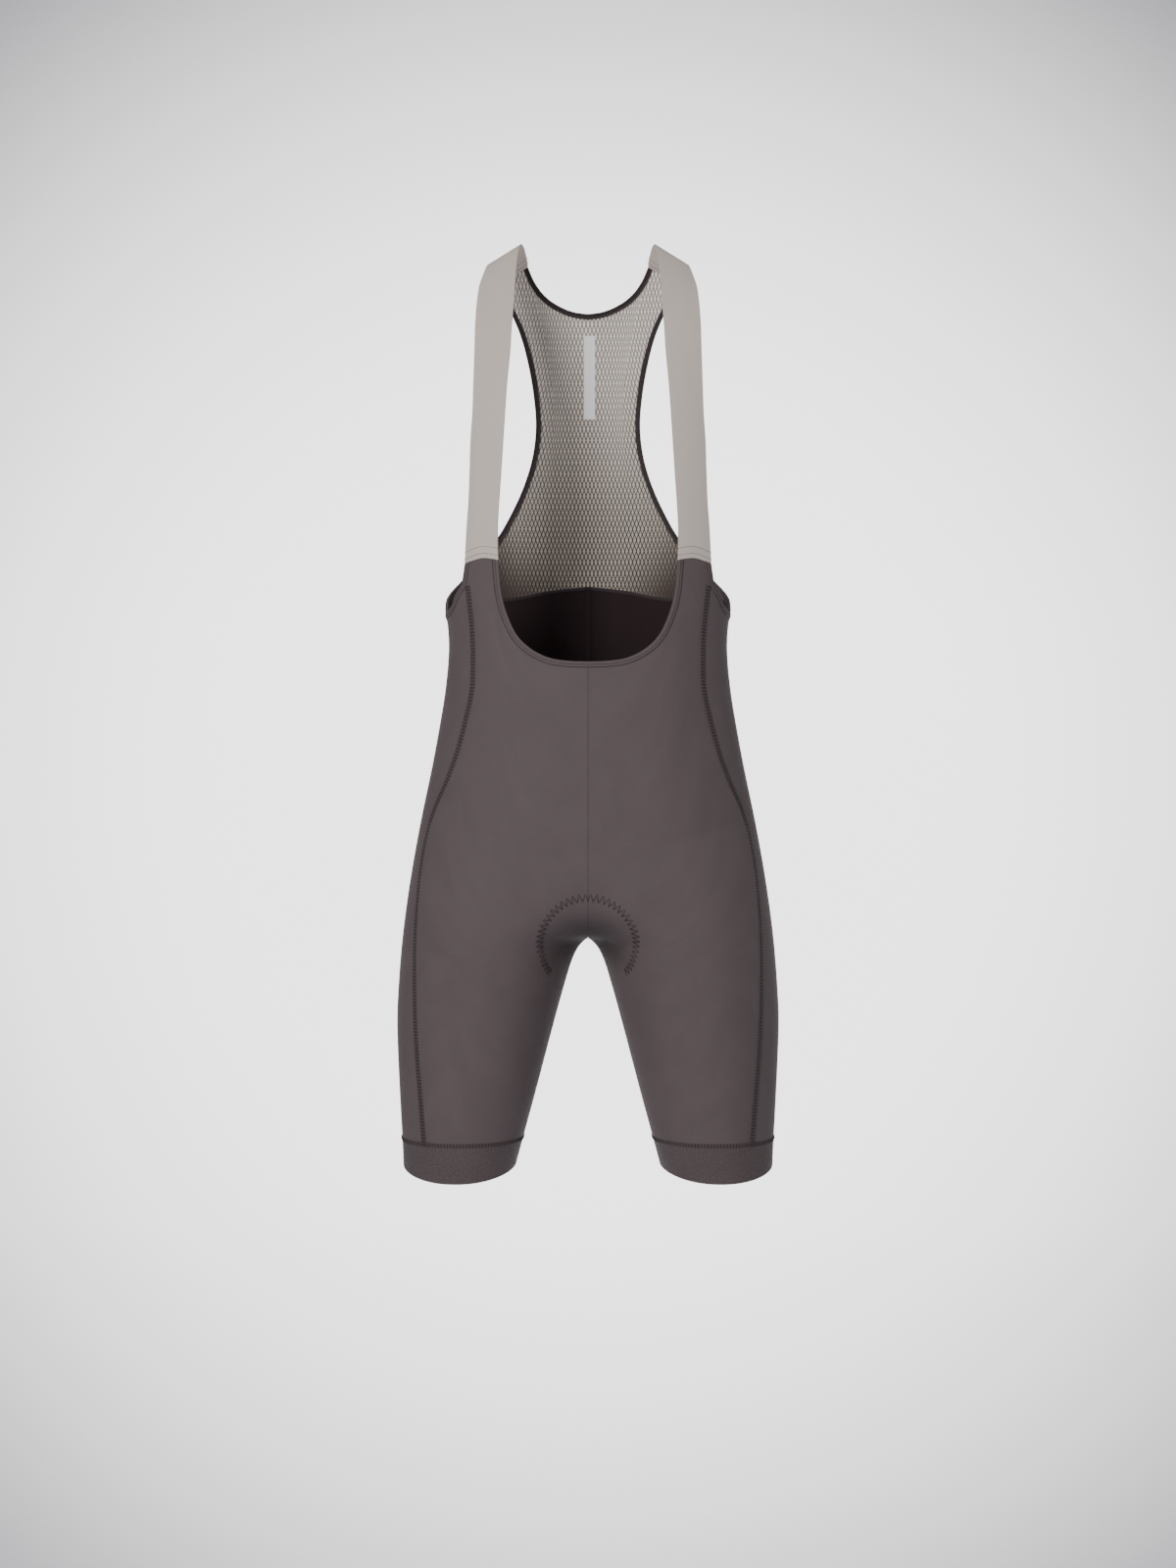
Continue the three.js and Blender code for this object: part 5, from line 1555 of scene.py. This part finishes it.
    def build_straps(self) -> None:
        """Makes the elastic straps with the stitch rows at both ends."""
        points, normals = self.strap_rows()
        if np.mean(normals[-20:, :, 1]) > 0:
            normals = -normals
        f = self.form
        webbing = Cloth(0, -f.strap_wall, "elastic", "elastic", "strap_elastic")
        self.add_pair("strap", Sheet.grid(points, normals), webbing)
        rows = [Path(points[k], normals[k]) for k in (-3, -6, 3, 6)]
        for side in Side:
            name = side.name.lower()
            outer = [row.on(side) for row in rows]
            inner = [Path(p.points - p.outs * f.strap_wall, -p.outs) for p in outer[2:]]
            self.sew(f"strap_stitches_{name}", outer + inner, "strap", f"strap_{name}")

    def ring_turn(self, level: Array, ring: tuple[float, float]) -> Array:
        """Finds where a ring, round as seen from the front, crosses some levels.

        Args:
            level: the levels.
            ring: the height of its middle and its radius.

        Returns:
            The turns.
        """
        middle, radius = ring
        side = -np.pi / 2 / self.body.row(level)[2]
        return self.body.crossing(level, np.full_like(level, -1.0), side,
                                  lambda p: np.hypot(p[..., 0], p[..., 2] - middle) < radius)[0]

    def pad_back_turn(self, level: Array) -> Array:
        """Finds where the pad's back edge crosses some levels."""
        reach = Curve(PAD_BACK)
        u = np.linspace(0, 1, FINE.reach_samples) ** 2
        return np.array([1 - np.interp(reach(one), run_length(self.body.point(one, 1 - u)), u) for one in level])

    def build_pad(self) -> None:
        """Makes the seat pad and the zigzag that sews it in."""
        body, f = self.body, self.form
        share = np.linspace(0, 1, FINE.pad_columns + 1)
        halves = []
        for top, count, front in ((f.pad_front_top, FINE.pad_front_rows, True),
                                  (f.pad_back_top, FINE.pad_back_rows, False)):
            levels = np.linspace(top, f.pad_foot, count + 1)
            level = np.repeat(levels[:, None], len(share), axis=1)
            start = np.full_like(levels, -1.0) if front else self.pad_back_turn(levels)
            end = self.ring_turn(levels, PAD_RING) if front else np.full_like(levels, 1.0)
            spots = Spots(level, lerp(start[:, None], end[:, None], share))
            out = share if front else 1 - share
            place = np.arange(len(levels)) / (len(levels) - 1)
            ends = np.clip(np.minimum(place, 1 - place) / 0.18, 0, 1)[:, None]
            depth = f.pad_thin + f.pad_swell * (1 - out**2) * ends * (2 - ends)
            halves.append(Sheet.grid(self.spot_points(spots), body.normal(spots), depth))
        half = Sheet.join(*halves)
        face = -f.wall - f.pad_gap
        self.add("chamois_pad", Sheet.join(half, half.mirrored()), Cloth(face, face, "foam", "foam", "pad_foam"))
        top = 1.05 + 1.09 * np.linspace(0, 1, 6000)
        front = Spots(top, self.ring_turn(top, STITCH_RING))
        seen = front[front.turn > -0.99995]
        low = np.linspace(2.16, 0.8, 500)
        back = Spots(low, self.pad_back_turn(low))
        rows = []
        for spots, count in ((seen, 260), (back, 300)):
            both = np.column_stack([self.spot_points(spots), spots.level, spots.turn])
            spaced = even_path(both, count)
            path = self.path(Spots(spaced[:, 3], spaced[:, 4])).shifted(0, 0.15)
            rows += [path, path.mirrored()]
        self.sew("pad_zigzag", rows, "pad", "front_panel_left")

    def build_seams(self) -> None:
        """Makes the flatlocked side seams, the gripper seams and the seam under the mesh."""
        body, cut, f = self.body, self.cut, self.form
        start = float(cut.arm["panel"].level[cut.arm_steps])
        level = np.concatenate([np.linspace(start, 0, 60)[:-1], np.linspace(0, 3, FINE.seam_rows)])
        seam = self.path(Spots(level, body.seam_turn(level))).shifted(0, -0.3)
        ring = self.gripper_turns(FINE.hem_steps)[:-1]
        hem = self.path(Spots(np.full_like(ring, 3.0), ring), closed=True)
        x = np.linspace(124, 0, 90)
        under = self.path(body.trunk_spot(x, cut.back_z(x), 1))
        inner = Path(under.points - under.outs * f.wall, -under.outs)
        level = np.linspace(0, 2, 160)
        tape = Cloth(0, -0.7, "knit_inside_shaded", "knit_inside_shaded", "stretch_knit")
        ends = (("front", -1, cut.neck["panel"].level[0], "front_panel_left"),
                ("back", 1, (f.trunk_top - cut.back_z(0.0)) / f.chart_step, "side_panel_left"))
        for label, face, above, node in ends:
            whole = np.concatenate([np.linspace(float(above), 0, 40)[:-1], level])
            path = self.path(Spots(whole, np.full_like(whole, face))).shifted(0, -f.wall)
            self.tape(f"centre_{label}_tape", path, BANDS["tape"], tape, node)
        band = Cloth(0, -0.9, "band", "band", "stretch_knit")
        dark = Cloth(0, -0.9, "dark", "dark", "dark_binding")
        for side in Side:
            name = side.name.lower()
            for label, path, lift, node in (("side_seam", seam, 0.6, f"front_panel_{name}"),
                                            ("gripper_seam", hem, 0.35, f"leg_gripper_{name}")):
                self.tape(f"{label}_band_{name}", path.on(side), BANDS[label], band, node)
                self.sew(f"{label}_rungs_{name}", [path.shifted(0, lift).on(side)], label, node)
            for label, path in (("outer", under), ("inner", inner)):
                self.tape(f"mesh_seam_{label}_{name}", path.on(side), BANDS["mesh_seam"], dark, f"side_panel_{name}")

    def declare(self) -> None:
        """Takes the pad out of the pieces."""
        pad = self.pieces.pop("chamois_pad")

    def build(self) -> None:
        """Makes everything."""
        self.build_panels()
        self.build_grippers()
        self.build_bindings()
        self.build_mesh()
        self.build_straps()
        self.build_pad()
        self.build_seams()
        self.declare()


@dataclass(frozen=True)
class Lamp:
    """A soft rectangular white light: where it is, where it points, its size and power."""

    place: tuple[float, float, float]
    aim: tuple[float, float, float]
    size: tuple[float, float]
    power: float


LAMPS = {
    "key": Lamp((-1.1, -2.5, 0.2), (0, 0, -0.5), (0.8, 1.3), 59),
    "fill": Lamp((1.9, -2.2, -0.3), (0, 0, -0.5), (1.2, 1.8), 14),
    "rim_left": Lamp((-1.5, 0.7, -0.5), (0, 0, -0.55), (0.5, 1.8), 3),
    "rim_right": Lamp((1.5, 0.7, -0.5), (0, 0, -0.55), (0.5, 1.8), 8),
    "backdrop": Lamp((0, -0.4, 1.6), (0, 2.6, -0.4), (3.0, 0.8), 14),
}


def build_lights() -> None:
    """Lights the garment softly from the front left, with a rim on both sides."""
    for name, lamp in LAMPS.items():
        data = bpy.data.lights.new(name, "AREA")
        data.shape = "RECTANGLE"
        data.size, data.size_y = lamp.size
        data.energy = lamp.power
        light = bpy.data.objects.new(name, data)
        light.location = lamp.place
        away = Vector(lamp.aim) - Vector(lamp.place)
        light.rotation_euler = away.to_track_quat("-Z", "Y").to_euler()
        bpy.context.scene.collection.objects.link(light)
    world = bpy.data.worlds.new("studio")
    world.use_nodes = True
    background = world.node_tree.nodes["Background"]
    background.inputs["Color"].default_value = colour(226, 227, 231)
    background.inputs["Strength"].default_value = 0.11
    bpy.context.scene.world = world


def build_stage() -> None:
    """Makes a pale floor that sweeps up into a backdrop and glows with a painted pool of light behind and below the
    garment, dark towards the edges.
    """
    bend = np.linspace(0, math.pi / 2, 25)
    profile = [(-3.8, -1.35), *((2.3 + 1.2 * math.sin(a), -0.15 - 1.2 * math.cos(a)) for a in bend), (3.5, 3.8)]
    points = np.array([(x, y, z) for y, z in profile for x in (-5.0, 5.0)])
    index = np.arange(len(profile) - 1) * 2
    faces = np.stack([index, index + 1, index + 3, index + 2], axis=1)
    material = bpy.data.materials.new("backdrop")
    material.use_nodes = True
    s = Shader(material.node_tree)
    shade = material.node_tree.nodes["Principled BSDF"]
    for key, value in {"Base Color": colour(170, 170, 173), "Roughness": 1.0, "Specular IOR Level": 0.0,
                       "Emission Strength": 1.0}.items():
        shade.inputs[key].default_value = value
    x, y, z = s.axes(s.node("ShaderNodeTexCoord").outputs["Object"])
    reach = s.total(y, 2.4)
    away = s.hypot(s.math("DIVIDE", x, reach), s.math("DIVIDE", s.total(z, 0.54), reach))
    # Painted light: the sweep glows brightest round the camera's line of sight and fades dark towards the edges
    glow = s.mix(s.smooth(away, 0.14, 0.46), (2.75, 2.75, 2.77, 1), (0.15, 0.15, 0.17, 1))
    s.feed(shade.inputs["Emission Color"], glow)
    make_object("stage", points / MM, faces, [material])


def build_camera() -> None:
    """Sets the camera level with the garment's middle, as in the photograph."""
    data = bpy.data.cameras.new("camera")
    data.lens = 56.4
    data.sensor_width = 36
    data.clip_end = 50
    camera = bpy.data.objects.new("camera", data)
    camera.location = (0, -2.4, -0.519)
    camera.rotation_euler = (math.radians(90), 0, 0)
    bpy.context.scene.collection.objects.link(camera)
    bpy.context.scene.camera = camera


def main() -> None:
    """Builds the scene."""
    logging.basicConfig(level=logging.INFO, format="%(message)s")
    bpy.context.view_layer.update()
    Garment(Finishes(FINISHES)).build()
    build_stage()
    build_lights()
    build_camera()


if __name__ == "__main__":
    main()
